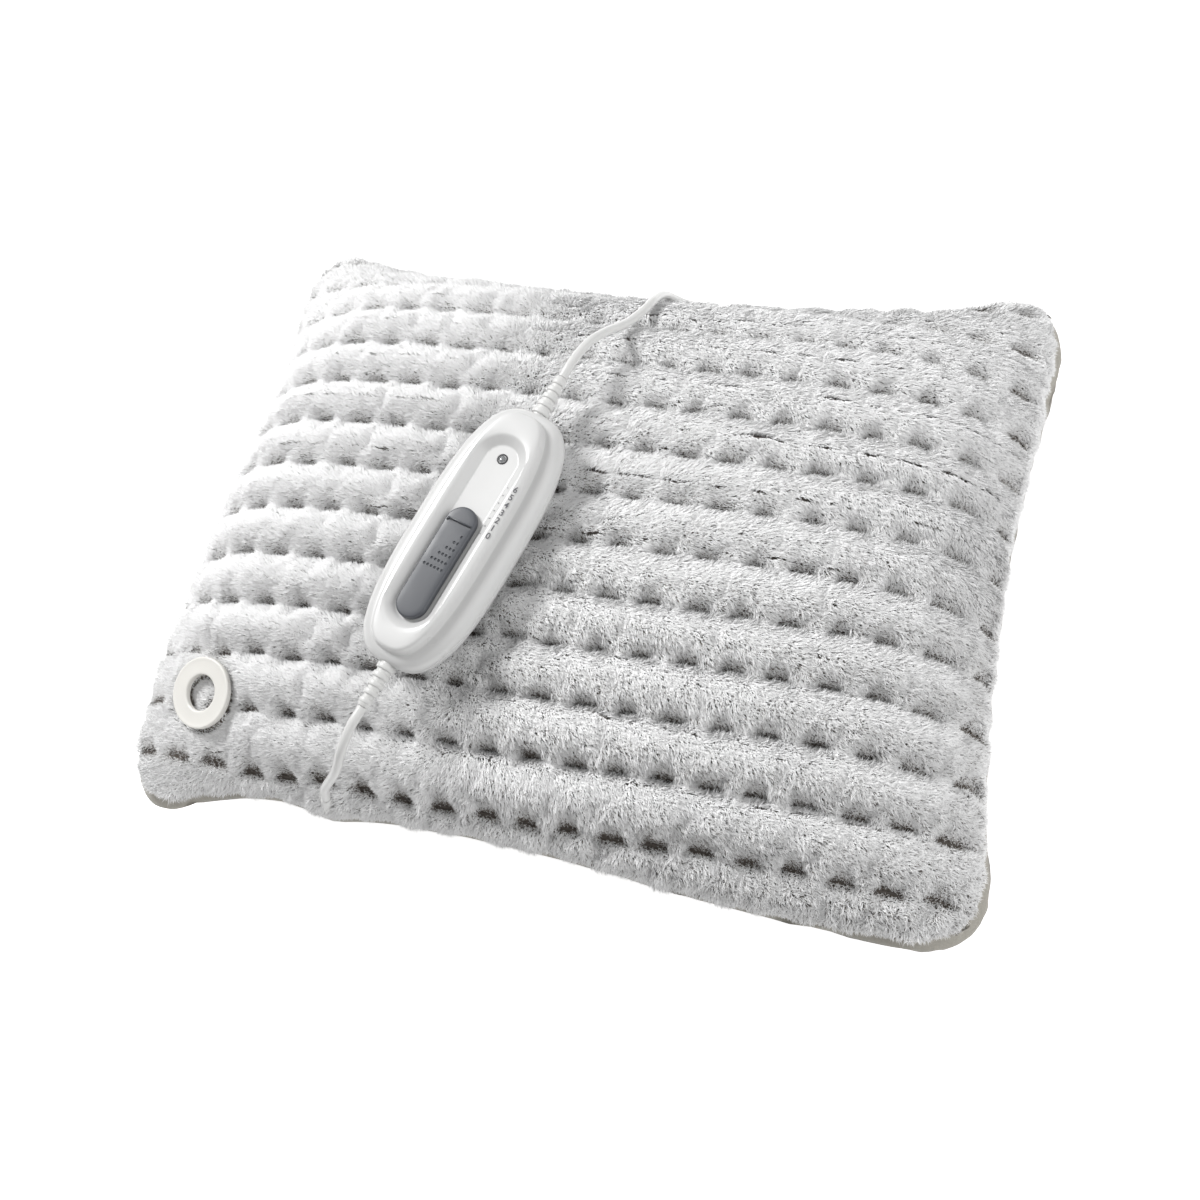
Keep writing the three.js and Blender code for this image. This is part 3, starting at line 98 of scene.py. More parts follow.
# Pulls of the cloth at the rim: X, Y, how far in X and in Y, and over what reach
RIM_PULLS = [
    (198, -152, 6, -3, 42),
    (190, 152, 4, 14, 42),
    (-192, -150, 4, -11, 36),
    (-188, 152, 3, 9, 42),
    (95, -146, 0, -5, 75),
    (-128, -146, 0, 4, 34),
    (-86, -146, 0, -3, 16),
    (-195, 75, 9, 0, 60),
]

# Quilting welds
ROW_COUNT = 12
ROW_PITCH = 23.2
FIRST_ROW_Y = -134.8
COLUMN_PITCH = 19.0
COLUMN_SPREAD = 0.029
COLUMN_LAST = 9.5
WELD_LENGTH = 9.4
WELD_WIDTH = 2.2
WELD_THICKNESS = 0.6
WELD_EDGE = 0.25
WELD_SINK = 0.1
WELD_SEED = 7
WELD_JITTER = (0.8, 0.6, 0.16)
WELD_FADE = (0.04, 0.2)
BACK_ROW_FREE = 118.0
CHANNEL_RISE = 8.0
CHANNEL_POWER = 0.6
CHANNEL_FADE = (0.3, 0.8)
PUFF_FRAMES = 20
PUFF_CAP = 3.4
PUFF_CLOTH = {
    "quality": 4,
    "mass": 0.1,
    "tension_stiffness": 2.0,
    "compression_stiffness": 2.0,
    "bending_stiffness": 0.02,
    "use_pressure": True,
    "uniform_pressure_force": 100.0,
    "shrink_min": -0.05,
    "vertex_group_mass": "held",
}
SADDLE_SHARE = 0.68
WELD_DROP = 3.4
SADDLE_REACH = 6.5
WELD_REACH = 2.4
# Along X, from the plain left edge to the quilted middle
LEFT_PLAIN = (-170.0, -90.0)
PLUSH_STATIONS = ((96, 1.35), (92, 1.3))

# Plush pile
PILE_DEPTH = 4.2
PILE_LENGTH = 4.9
PILE_WIDTH = 0.455
PILE_DENSITY = 5.8
CLUMP_SIZE = 1.5
SEAM_INSET = 4.2
SEAM_CORNER_INSET = 9.0
SEAM_CORNER_FADE = (0.55, 1.0)
SEAM_LIFT = 1.4
SEAM_BEAD = 1.5
SEAM_STEP = 0.3
SEAM_DROP = 0.3
PILE_STRIPS = 13
PILE_SEED = 100
CLUMP_PULL = 0.5
# Stretch of a weld's fan in front and behind, and how fast it closes
FAN_SHAPE = (2.0, 0.55, 0.55)
RUFFLE = 0.42
RUFFLE_SCALE = 170.0
STRAY = 0.22
STRAY_SEED = 11
SPIN = 0.7
SPIN_SEED = 23
TALLNESS = (0.72, 1.1)
TALL_SEED = 31
FLECK_SEED = 43
# Tone of a fibre: its base, what its clump adds and what a fleck of painted shade takes away
TONE_BASE = 0.87
TONE_CLUMP = 0.12
TONE_FLECK = 0.85
# How far the shading normal follows the clump, the lean and the stray part
FACING_CLUMP = 0.5
FACING_LEAN = 0.9
FACING_STRAY = 0.8
MAP_MARGIN = 0.02
MAP_SPAN = 0.96
# Along X, from the pile swept left, which also gets painted shade, to the pile with wandering strokes
LEFT_COMB = (-75.0, 5.0)

# Trim ring
RING_PLACE = (-152.0505, -107.3661, 71.0285)
RING_NORMAL = (-0.2179, -0.28563, 0.93324)
RING_OUTER = 33.0
RING_BORE = 16.5

# Controller
CASE_PLACE = (-33.2, -30.0, 101.1744)
CASE_TURN = math.radians(-17.2)
CASE_TILT = math.radians(3.6)
CASE_LENGTH = 127.0
CASE_WIDTH = 51.5
CASE_HEIGHT = 20.5
CASE_POWER = 3.0
CASE_END_SHARE = 0.56
PARTING_Z = 9.0
GROOVE_INSET = 7.7
GROOVE_Z = 15.5
RECESS_LENGTH = 95.0
RECESS_WIDTH = 24.4
RECESS_Y = -0.8
RECESS_Z = 17.1
RECESS_SLOPE = 3.9
DECK_Z = 15.6
SLIDER_LENGTH = 53.8
SLIDER_WIDTH = 14.5
SLIDER_Y = -16.9
SLIDER_BOTTOM = 17.4
SLIDER_TOP = 20.4
SLOT_Y = 1.8
SLOT_DEPTH = 0.7
LIP_OFFSET = 1.0
LIP_SINK = 0.1
# Length, width, height and edge of small bars
SLOT_BAR = (12.6, 1.1, 1.6, 0.3)
LIP_BAR = (12.2, 0.7, 0.55, 0.2)
TICK_BAR = (1.5, 0.34, 0.22, 0.08)
DIMPLE_ROWS = 6
DIMPLE_X = 4.6
DIMPLE_Y = -3.0
DIMPLE_PITCH = (1.8, 3.3)
DIMPLE_RADIUS = 0.72
DIMPLE_RISE = 0.32
SETTINGS = 7
DIGIT_X = 14.9
DIGIT_Y = 2.3
DIGIT_PITCH = 3.83
DIGIT_SIZE = 3.9
DIGIT_EXTRUDE = 0.04
DIGIT_OFFSET = 0.045
DIGIT_RISE = 0.14
TICK_X = 10.3
TICK_RISE = 1.85
TICK_LEAN = -0.76
LAMP_Y = 36.4
# Turned shapes: (radius, height) pairs
BEZEL_PROFILE = [(1.75, -0.1), (2.5, -0.1), (2.45, 0.18), (2.1, 0.34), (1.8, 0.26)]
WINDOW_PROFILE = [(0, -1.4), (1.7, -1.4), (1.72, -0.12), (1.5, 0.08), (0.9, 0.26), (0, 0.34)]
SCREW_PLACE = (10.75, 44.5)
WELL_PROFILE = [(0, 0), (2.7, 0), (2.7, 3.2), (0, 3.2)]
WELL_START = -1
RELIEF_LENGTH = 20.0
RELIEF_RIBS = 5
RELIEF_RADIUS = 4.2
RELIEF_TAPER = 1.2
RELIEF_ROOT = [(0, -1.8), (3.3, -1.8), (3.3, 0)]
# A rib and the groove after it: share of the pitch, and depth below the rib's radius
RELIEF_RIB = [(0.0, 0.35), (0.05, 0.1), (0.1, 0), (0.5, 0.02), (0.56, 0.12), (0.6, 0.35)]
RELIEF_GROOVE = [(0.62, 0.9), (0.97, 0.95)]
RELIEF_TIP = [(2.4, RELIEF_LENGTH - 0.3), (2.2, RELIEF_LENGTH), (0, RELIEF_LENGTH)]
CASE_SIDES = 160
OUTLINE_STEPS = 2000

# Leads and plug
LEAD_DIAMETER = 4.2
WAY_SPACING = 1.2
PAD_LEAD_WAY = [
    (-64, -129, 99.5),
    (-68.5, -135, 89),
]
MAINS_LEAD_WAY = [
    (-1.9, 69.9, 113.8),
    (2.1, 80.2, 107.5),
    (5.6, 88.6, 100.5),
    (8.3, 95, 95.8),
    (12, 104.5, 91.5),
    (13.3, 112.5, 87),
    (13, 120, 80.2),
    (12.3, 128, 70.6),
    (12, 135, 60),
    (12.9, 140.3, 49.8),
    (16, 144.6, 40.6),
    (22, 147.6, 32.9),
    (31, 148.4, 27.2),
    (42, 146.2, 23.2),
    (53, 141.2, 19.2),
    (64.5, 134, 14.4),
    (77, 127.2, 8.9),
    (89.5, 123.6, 5),
    (100.3, 126, 4),
    (108, 133.3, 3.5),
    (110.8, 143.7, 3.5),
    (108, 154.1, 3.5),
    (100.3, 161.3, 3.5),
    (89.5, 164, 3.5),
    (78, 164.5, 3.5),
    (66, 164.5, 3.5),
]
GLAND_X = -88.0
GLAND_SETBACK = 1.5
GLAND_AXIS = (0.25, 0.2, 0.947)
GLAND_ABOVE = 17.5
GLAND_PROFILE = [
    (0, 0.5),
    (2.3, 0.5),
    (2.6, 0.9),
    (2.7, 2.0),
    (2.6, GLAND_ABOVE - 1.2),
    (2.5, GLAND_ABOVE - 0.3),
    (2.3, GLAND_ABOVE),
    (0, GLAND_ABOVE),
]
HANK_TURNS = 2.5
HANK_RUN = 80.0
HANK_FOLD = 12.6
HANK_PITCH = 4.75
HANK_Y = 140.0
HANK_Z = 3.5
HANK_RUN_POINTS = 12
HANK_FOLD_POINTS = 24
PLUG_PLACE = (-100.0, 146.0, 6.95)
PLUG_LENGTH = 36.0
PLUG_WIDTH = 35.0
PLUG_THICKNESS = 13.7
PLUG_SIDES = 72
PLUG_STEPS = 91
PLUG_POWER = 0.5
PLUG_RIBS = (6, 15)
PLUG_RIB_DEPTH = 0.45
# Distance from the cord, half width and half thickness
PLUG_OUTLINE = [
    (0, 3.4, 3.4),
    (0.5, 4.2, 4.2),
    (1.4, 4.7, 4.7),
    (12.6, 16.1, 6.85),
    (23.4, 16.1, 6.85),
    (34.6, 13.6, 6.7),
    (35.6, 12.9, 6.2),
    (36, 12.2, 5.6),
]
PIN_LENGTH = 19.0
PIN_SPACING = 18.6
SLEEVE_PROFILE = [(0, -1), (1.9, -1), (1.9, 9.8), (1.75, 10), (0, 10)]
PIN_PROFILE = [
    (0, 9),
    (2, 9),
    (2, PIN_LENGTH - 1.2),
    (1.85, PIN_LENGTH - 0.6),
    (1.45, PIN_LENGTH - 0.2),
    (0.8, PIN_LENGTH),
    (0, PIN_LENGTH),
]
TIE_WIDTH = 6.0
TIE_REACH = (26.5, 5.8)
TIE_SIDES = 96
TIE_POWERS = (0.22, 0.45)
TIE_LIFT = 0.1
GAP = 0.3

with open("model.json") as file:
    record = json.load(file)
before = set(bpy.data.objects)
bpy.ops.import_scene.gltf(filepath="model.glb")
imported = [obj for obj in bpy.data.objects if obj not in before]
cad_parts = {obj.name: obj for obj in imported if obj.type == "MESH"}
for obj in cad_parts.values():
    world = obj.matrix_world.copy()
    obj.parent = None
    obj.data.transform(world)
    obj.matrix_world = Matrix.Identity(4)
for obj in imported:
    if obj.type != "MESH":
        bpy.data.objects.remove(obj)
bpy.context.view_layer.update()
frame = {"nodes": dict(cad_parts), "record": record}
scene = bpy.context.scene
scene.view_settings.view_transform = "Standard"


# Camera


def set_camera():
    """Camera at the photo's viewpoint."""
    right = Vector(CAMERA_RIGHT)
    up = Vector(CAMERA_UP)
    back = right.cross(up)
    camera = bpy.data.objects.new("camera", bpy.data.cameras.new("camera"))
    scene.collection.objects.link(camera)
    camera.data.lens = CAMERA_LENS
    camera.data.sensor_width = SENSOR_WIDTH
    turn = Matrix((right, up, back)).transposed().to_4x4()
    camera.matrix_world = Matrix.Translation(Vector(CAMERA_PLACE) * MM) @ turn
    scene.camera = camera


set_camera()


# Node helpers


def put(tree, kind, values=None, **settings):
    """New node with its settings, its plain input values and its incoming links."""
    made = tree.nodes.new(kind)
    for key, value in settings.items():
        setattr(made, key, value)
    for key, value in (values or {}).items():
        if isinstance(value, bpy.types.NodeSocket):
            tree.links.new(value, made.inputs[key])
        else:
            made.inputs[key].default_value = value
    return made


def number(tree, operation, *terms):
    """Result of a Math node."""
    return put(tree, "ShaderNodeMath", dict(enumerate(terms)), operation=operation).outputs[0]


def vector(tree, operation, a, b):
    """Result of a Vector Math node, whose second term is a number where it scales."""
    key = "Scale" if operation == "SCALE" else 1
    return put(tree, "ShaderNodeVectorMath", {0: a, key: b}, operation=operation).outputs["Vector"]


def noise(tree, place, scale, detail=2.0, distortion=0.0):
    values = {"Vector": place, "Scale": scale, "Detail": detail, "Distortion": distortion}
    return put(tree, "ShaderNodeTexNoise", values).outputs


def ranged(tree, value, low, high):
    """The middle range of a noise, spread from low to high."""
    start, end = NOISE_RANGE
    values = {"Value": value, "From Min": start, "From Max": end, "To Min": low, "To Max": high}
    return put(tree, "ShaderNodeMapRange", values).outputs["Result"]


def new_group(name, kind, inputs, outputs):
    """Node group with named sockets: its tree, what it is given and what it gives back."""
    tree = bpy.data.node_groups.new(name, kind)
    for title, socket, default in inputs:
        made = tree.interface.new_socket(title, in_out="INPUT", socket_type=socket)
        if default is not None:
            made.default_value = default
    for title, socket in outputs:
        tree.interface.new_socket(title, in_out="OUTPUT", socket_type=socket)
    return tree, tree.nodes.new("NodeGroupInput").outputs, tree.nodes.new("NodeGroupOutput").inputs


def grain_group():
    """Moulded plastic: fine texture, faint mottling of colour and gloss."""
    tree, given, out = new_group(
        "moulded grain",
        "ShaderNodeTree",
        [
            ("Vector", "NodeSocketVector", None),
            ("Color", "NodeSocketColor", None),
            ("Roughness", "NodeSocketFloat", 0.4),
            ("Grain", "NodeSocketFloat", 2600.0),
            ("Mottle", "NodeSocketFloat", 0.05),
        ],
        [("Color", "NodeSocketColor"), ("Roughness", "NodeSocketFloat"), ("Height", "NodeSocketFloat")],
    )
    fine = noise(tree, given["Vector"], given["Grain"])["Fac"]
    cloud = noise(tree, given["Vector"], 55.0, 4.0)["Fac"]
    shade = ranged(tree, cloud, number(tree, "SUBTRACT", 1.0, given["Mottle"]), 1.0)
    gloss = number(tree, "ADD", given["Roughness"], ranged(tree, cloud, -0.05, 0.07))
    tree.links.new(vector(tree, "SCALE", given["Color"], shade), out["Color"])
    tree.links.new(gloss, out["Roughness"])
    tree.links.new(fine, out["Height"])
    return tree


def cloth_group():
    """Short napped cloth: crossed threads, soft nap and patches where it was brushed."""
    tree, given, out = new_group(
        "napped cloth",
        "ShaderNodeTree",
        [
            ("Vector", "NodeSocketVector", None),
            ("Color", "NodeSocketColor", None),
            ("Thread", "NodeSocketFloat", 900.0),
            ("Brushing", "NodeSocketFloat", 0.16),
        ],
        [("Color", "NodeSocketColor"), ("Height", "NodeSocketFloat")],
    )
    place = given["Vector"]
    weave = {"Vector": place, "Scale": given["Thread"], "Distortion": 1.2}
    warp, weft = (
        put(tree, "ShaderNodeTexWave", weave, bands_direction=axis).outputs["Fac"] for axis in ("X", "Y")
    )
    nap = noise(tree, place, 1500.0, 3.0)["Fac"]
    brushed = noise(tree, place, 24.0, 5.0, 0.6)["Fac"]
    low = number(tree, "SUBTRACT", 1.0, given["Brushing"])
    high = number(tree, "ADD", 1.0, given["Brushing"])
    shade = number(tree, "MULTIPLY", ranged(tree, brushed, low, high), ranged(tree, nap, 0.9, 1.08))
    height = number(tree, "ADD", number(tree, "MAXIMUM", warp, weft), nap)
    tree.links.new(vector(tree, "SCALE", given["Color"], shade), out["Color"])
    tree.links.new(height, out["Height"])
    return tree


GRAIN = grain_group()
CLOTH = cloth_group()


def new_finish(name, **sockets):
    """Material with a Principled shader and constant values on its own sockets."""
    material = bpy.data.materials.new(name)
    material.use_nodes = True
    shader = material.node_tree.nodes["Principled BSDF"]
    for key, value in sockets.items():
        shader.inputs[key.replace("_", " ")].default_value = value
    return material, material.node_tree, shader


def finished(name, shared, values, bump, depth, sockets):
    """Material whose colour, gloss and relief come from a shared group on Object coordinates."""
    material, tree, shader = new_finish(name, **sockets)
    place = put(tree, "ShaderNodeTexCoord").outputs["Object"]
    group = put(tree, "ShaderNodeGroup", {"Vector": place, **values}, node_tree=shared).outputs
    relief = put(tree, "ShaderNodeBump", {"Height": group["Height"], "Strength": bump, "Distance": depth})
    tree.links.new(group["Color"], shader.inputs["Base Color"])
    if "Roughness" in group:
        tree.links.new(group["Roughness"], shader.inputs["Roughness"])
    tree.links.new(relief.outputs["Normal"], shader.inputs["Normal"])
    return material


def moulded(name, colour, roughness, grain=2600.0, bump=0.03, mottle=0.05, **sockets):
    values = {"Color": (*colour, 1.0), "Roughness": roughness, "Grain": grain, "Mottle": mottle}
    return finished(name, GRAIN, values, bump, GRAIN_DEPTH, sockets)


def napped(name, colour, thread=900.0, brushing=0.16, bump=0.35, **sockets):
    values = {"Color": (*colour, 1.0), "Thread": thread, "Brushing": brushing}
    return finished(name, CLOTH, values, bump, CLOTH_DEPTH, sockets)


def pile_finish():
    """Fibres with taupe roots and white tips; both come from the piece's own attributes. The dark root is
    partly painted shade, and the tone carries painted light and shade.
    """
    material, tree, shader = new_finish(
        "plush pile", Roughness=0.9, Sheen_Weight=0.12, Sheen_Roughness=0.5, Specular_IOR_Level=0.1
    )
    along = put(tree, "ShaderNodeAttribute", attribute_name="pile_t").outputs["Fac"]
    tone = put(tree, "ShaderNodeAttribute", attribute_name="pile_tone").outputs["Fac"]
    # A low tone moves the colour towards the dark root and dims it as painted shade; a high tone lightens it
    # as painted light
    shift = number(tree, "MULTIPLY", number(tree, "SUBTRACT", tone, TONE_MIDDLE), TONE_REACH)
    ramp = put(tree, "ShaderNodeValToRGB", {"Fac": number(tree, "ADD", along, shift)})
    elements = ramp.color_ramp.elements
    while len(elements) < len(PILE_RAMP):
        elements.new(0.5)
    for element, (at, colour) in zip(elements, PILE_RAMP):
        element.position = at
        element.color = (*colour, 1.0)
    dim = number(tree, "MULTIPLY_ADD", tone, *TONE_DIM)
    tree.links.new(vector(tree, "SCALE", ramp.outputs["Color"], dim), shader.inputs["Base Color"])
    return material


PILE = pile_finish()
BACKING = napped("knitted backing", (0.16, 0.14, 0.12), thread=700.0, Roughness=0.95)
WELD_FILM = napped("welded cloth", (0.085, 0.072, 0.06), thread=1300.0, bump=0.2, Roughness=0.6)
MICROFIBRE = napped(
    "back microfibre",
    (0.42, 0.40, 0.355),
    thread=1500.0,
    brushing=0.12,
    Roughness=0.9,
    Sheen_Weight=0.4,
    Sheen_Roughness=0.4,
)
SEAM_THREAD = napped("seam thread", (0.52, 0.49, 0.44), thread=2500.0, Roughness=0.8)
WADDING = napped("loose wadding", (0.86, 0.86, 0.83), thread=300.0, Roughness=1.0)
TIE_CLOTH = napped("hook tape", (0.03, 0.03, 0.032), thread=1800.0, bump=0.6, Roughness=0.8)
CASE_WHITE = moulded(
    "case white", (0.63, 0.63, 0.625), 0.32, mottle=0.02, Coat_Weight=0.1, Coat_Roughness=0.15
)
SLATE = moulded("slider slate", (0.08, 0.085, 0.096), 0.42, grain=1800.0, bump=0.12, mottle=0.1)
INK = moulded("dial ink", (0.10, 0.10, 0.11), 0.55)
INK_PALE = moulded("tick ink", (0.46, 0.46, 0.47), 0.5)
SOFT_WHITE = moulded("lead sheath", (0.66, 0.66, 0.65), 0.33, grain=1500.0, bump=0.05, mottle=0.03)
IVORY = moulded("ring ivory", (0.78, 0.766, 0.725), 0.38, grain=2000.0, bump=0.06, mottle=0.05)
BLACK = moulded("black moulding", (0.025, 0.025, 0.028), 0.45)
SMOKE = moulded("smoked window", (0.20, 0.205, 0.21), 0.12, mottle=0.02)
BOARD = moulded("board lacquer", (0.03, 0.16, 0.07), 0.4, grain=700.0)
STEEL = moulded("plain steel", (0.62, 0.63, 0.64), 0.28, grain=900.0, Metallic=1.0)
COPPER = moulded("drawn copper", (0.62, 0.31, 0.16), 0.3, grain=900.0, Metallic=1.0)
NICKEL = moulded("nickel plate", (0.70, 0.68, 0.64), 0.2, grain=1200.0, Metallic=1.0)


# Mesh helpers


def new_object(name, data):
    made = bpy.data.objects.new(name, data)
    scene.collection.objects.link(made)
    return made


def new_piece(name, mesh, material, body="pad", stands_for=()):
    piece = new_object(name, mesh)
    mesh.materials.clear()
    mesh.materials.append(material)
    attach(piece, body)
    if stands_for:
        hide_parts(*stands_for)
    return piece


def made_mesh(holder):
    """Mesh of an object after its modifiers."""
    graph = bpy.context.evaluated_depsgraph_get()
    return bpy.data.meshes.new_from_object(holder.evaluated_get(graph), depsgraph=graph)


def smoothed(mesh, sharp):
    mesh.shade_smooth()
    mesh.set_sharp_from_angle(angle=math.radians(sharp))
    return mesh


def mesh_of(name, points, faces, sharp=40.0):
    """Smooth mesh in metres from points in millimetres."""
    mesh = bpy.data.meshes.new(name)
    mesh.from_pydata((np.asarray(points, float) * MM).tolist(), [], [tuple(f) for f in faces])
    mesh.update()
    return smoothed(mesh, sharp)


def strip_faces(rings, sides, closed=True):
    """Quads between rings of equal count, listed from the bottom up, turning left."""
    faces = []
    last = sides if closed else sides - 1
    for level in range(rings - 1):
        for side in range(last):
            a = level * sides + side
            b = level * sides + (side + 1) % sides
            faces.append((a, b, b + sides, a + sides))
    return faces


def loft(name, rings, sharp=40.0):
    """Body with closed ends through rings of equal count."""
    sides = len(rings[0])
    top = (len(rings) - 1) * sides
    faces = strip_faces(len(rings), sides)
    faces.append(tuple(reversed(range(sides))))
    faces.append(tuple(range(top, top + sides)))
    return mesh_of(name, np.concatenate(rings), faces, sharp)


def wrapped(name, rings, sharp=40.0):
    """Closed band through rings of equal count, the last of which joins the first."""
    points = np.concatenate(rings)
    faces = strip_faces(len(rings) + 1, len(rings[0]))
    return mesh_of(name, points, [tuple(i % len(points) for i in f) for f in faces], sharp)


def circle(sides):
    """Cosines and sines of an even turn."""
    angles = np.arange(sides) * 2 * math.pi / sides
    return np.cos(angles), np.sin(angles)


def blunt(values, power):
    """Values from -1 to 1 drawn towards both ends, as for a squared circle."""
    return np.sign(values) * np.abs(values) ** power


def spun(profile, sides):
    """Rings about Z from (radius, height) pairs."""
    across, along = circle(sides)
    return [np.stack([r * across, r * along, np.full(sides, z)], 1) for r, z in profile]


def turned(name, profile, sides=64, sharp=40.0):
    """Body turned about Z from pairs listed from the bottom up; a zero radius closes it."""
    return loft(name, spun([(max(r, 1e-3), z) for r, z in profile], sides), sharp)


def collar(name, profile, sides=96, sharp=40.0):
    """Ring turned about Z from a closed outline listed anticlockwise."""
    return wrapped(name, spun(profile, sides), sharp)


def smooth_way(points, spacing):
    """Centripetal spline through points, sampled about every spacing."""
    known = [np.array(p, float) for p in points]
    known = [2 * known[0] - known[1], *known, 2 * known[-1] - known[-2]]
    way = []
    for a, b, c, d in zip(known, known[1:], known[2:], known[3:]):
        first, middle, last = (math.sqrt(np.linalg.norm(q - p)) for p, q in ((a, b), (b, c), (c, d)))
        leave = middle * ((b - a) / first - (c - a) / (first + middle) + (c - b) / middle)
        reach = middle * ((c - b) / middle - (d - b) / (middle + last) + (d - c) / last)
        count = max(1, math.ceil(np.linalg.norm(c - b) / spacing))
        for step in range(count):
            t = step / count
            way.append(
                (2 * t**3 - 3 * t**2 + 1) * b
                + (3 * t**2 - 2 * t**3) * c
                + (t**3 - 2 * t**2 + t) * leave
                + (t**3 - t**2) * reach
            )
    way.append(known[-2])
    return np.array(way)


def tube(name, way, diameter, sides=16):
    """Round tube with closed ends along a dense way."""
    tangents = np.gradient(way, axis=0)
    tangents /= np.linalg.norm(tangents, axis=1)[:, None]
    normal = np.array([0.0, 0.0, 1.0])
    cosines, sines = circle(sides)
    rings = []
    for point, tangent in zip(way, tangents):
        normal = normal - tangent * normal.dot(tangent)
        normal /= np.linalg.norm(normal)
        across = np.cross(tangent, normal)
        ring = np.outer(cosines, normal) + np.outer(sines, across)
        rings.append(point + ring * diameter / 2)
    return loft(name, rings)


def placed(mesh, matrix):
    mesh.transform(matrix)
    mesh.update()
    return mesh


def shifted(*place):
    """Matrix in metres that moves by a place in millimetres."""
    return Matrix.Translation(Vector(place) * MM)


def aimed(axis):
    """Matrix that turns Z to an axis."""
    return Vector(axis).to_track_quat("Z", "Y").to_matrix().to_4x4()


def on_case():
    """Matrix from the controller's own frame, in metres, to the part's frame."""
    return shifted(*CASE_PLACE) @ Matrix.Rotation(CASE_TURN, 4, "Z") @ Matrix.Rotation(CASE_TILT, 4, "X")


CASE_FRAME = on_case()


def case_point(x, y, z):
    return np.array(CASE_FRAME @ (Vector((x, y, z)) * MM)) / MM


def tree_result(holder, tree, name, values):
    """Mesh that a tree makes on an object, without the modifier."""
    modifier = holder.modifiers.new(name, "NODES")
    modifier.node_group = tree
    for item in tree.interface.items_tree:
        if item.in_out == "INPUT" and item.name in values:
            modifier[item.identifier] = values[item.name]
    mesh = made_mesh(holder)
    holder.modifiers.remove(modifier)
    mesh.name = name
    return mesh


def named(tree, name, kind="FLOAT"):
    """Named attribute of what a tree is given."""
    return put(tree, "GeometryNodeInputNamedAttribute", {"Name": name}, data_type=kind).outputs["Attribute"]


def copied(tree, points, shape, rotation, scale):
    """Real copies of an object at points."""
    model = put(tree, "GeometryNodeObjectInfo", {"Object": shape}).outputs["Geometry"]
    values = {"Points": points, "Instance": model, "Rotation": rotation, "Scale": scale}
    copies = put(tree, "GeometryNodeInstanceOnPoints", values).outputs["Instances"]
    return put(tree, "GeometryNodeRealizeInstances", {"Geometry": copies}).outputs["Geometry"]


def dressed(tree, geometry, finish, out):
    """Geometry with its material, as a tree's result."""
    made = put(tree, "GeometryNodeSetMaterial", {"Geometry": geometry, "Material": finish})
    tree.links.new(made.outputs["Geometry"], out["Geometry"])
    return tree


def set_out_tree():
    """Copies of one shape at points that carry their own turn and size."""
    tree, given, out = new_group(
        "set out",
        "GeometryNodeTree",
        [
            ("Geometry", "NodeSocketGeometry", None),
            ("Shape", "NodeSocketObject", None),
            ("Finish", "NodeSocketMaterial", None),
        ],
        [("Geometry", "NodeSocketGeometry")],
    )
    turn, size = (named(tree, name, "FLOAT_VECTOR") for name in ("copy_turn", "copy_size"))
    points = put(tree, "GeometryNodeMeshToPoints", {"Mesh": given["Geometry"]}).outputs["Points"]
    rotation = put(tree, "FunctionNodeEulerToRotation", {"Euler": turn}).outputs["Rotation"]
    return dressed(tree, copied(tree, points, given["Shape"], rotation, size), given["Finish"], out)


SET_OUT = set_out_tree()


def set_out(name, shape, finish, matrices):
    """Mesh of a shape, given in millimetres, repeated at each matrix in metres."""
    cloud = bpy.data.meshes.new(name)
    cloud.from_pydata([m.to_translation() for m in matrices], [], [])
    turns = np.array([m.to_euler() for m in matrices], np.float32)
    sizes = np.array([m.to_scale() for m in matrices], np.float32)
    for title, values in (("copy_turn", turns), ("copy_size", sizes)):
        cloud.attributes.new(title, "FLOAT_VECTOR", "POINT").data.foreach_set("vector", values.ravel())
    holder = new_object(name, cloud)
    model = new_object(f"{name}_shape", shape)
    mesh = smoothed(tree_result(holder, SET_OUT, name, {"Shape": model, "Finish": finish}), 40.0)
    for title in ("copy_turn", "copy_size"):
        if title in mesh.attributes:
            mesh.attributes.remove(mesh.attributes[title])
    for item in (holder, model):
        bpy.data.objects.remove(item)
    return mesh


def bar(length, width, height, edge):
    """Bar along X with rounded long edges, standing on Z = 0."""
    half = width / 2
    outline = [
        (-half, 0),
        (half, 0),
        (half, height - edge),
        (half - edge * 0.3, height - edge * 0.3),
        (half - edge, height),
        (edge - half, height),
        (edge * 0.3 - half, height - edge * 0.3),
        (-half, height - edge),
    ]
    end = length / 2
    stations = [(-end, 0.6), (-end + edge, 1.0), (end - edge, 1.0), (end, 0.6)]
    rings = [np.array([(x, y * shrink, z * shrink) for y, z in outline]) for x, shrink in stations]
    return loft("bar", rings, 50.0)


# Leads


def gland_centre():
    """Centre of the gland: at the seam's height, set back a little from the front rim."""
    u = GLAND_X / SIDE_MID
    return np.array([GLAND_X, plan_point(u, -1.0)[1] + GLAND_SETBACK, SEAM_Z])


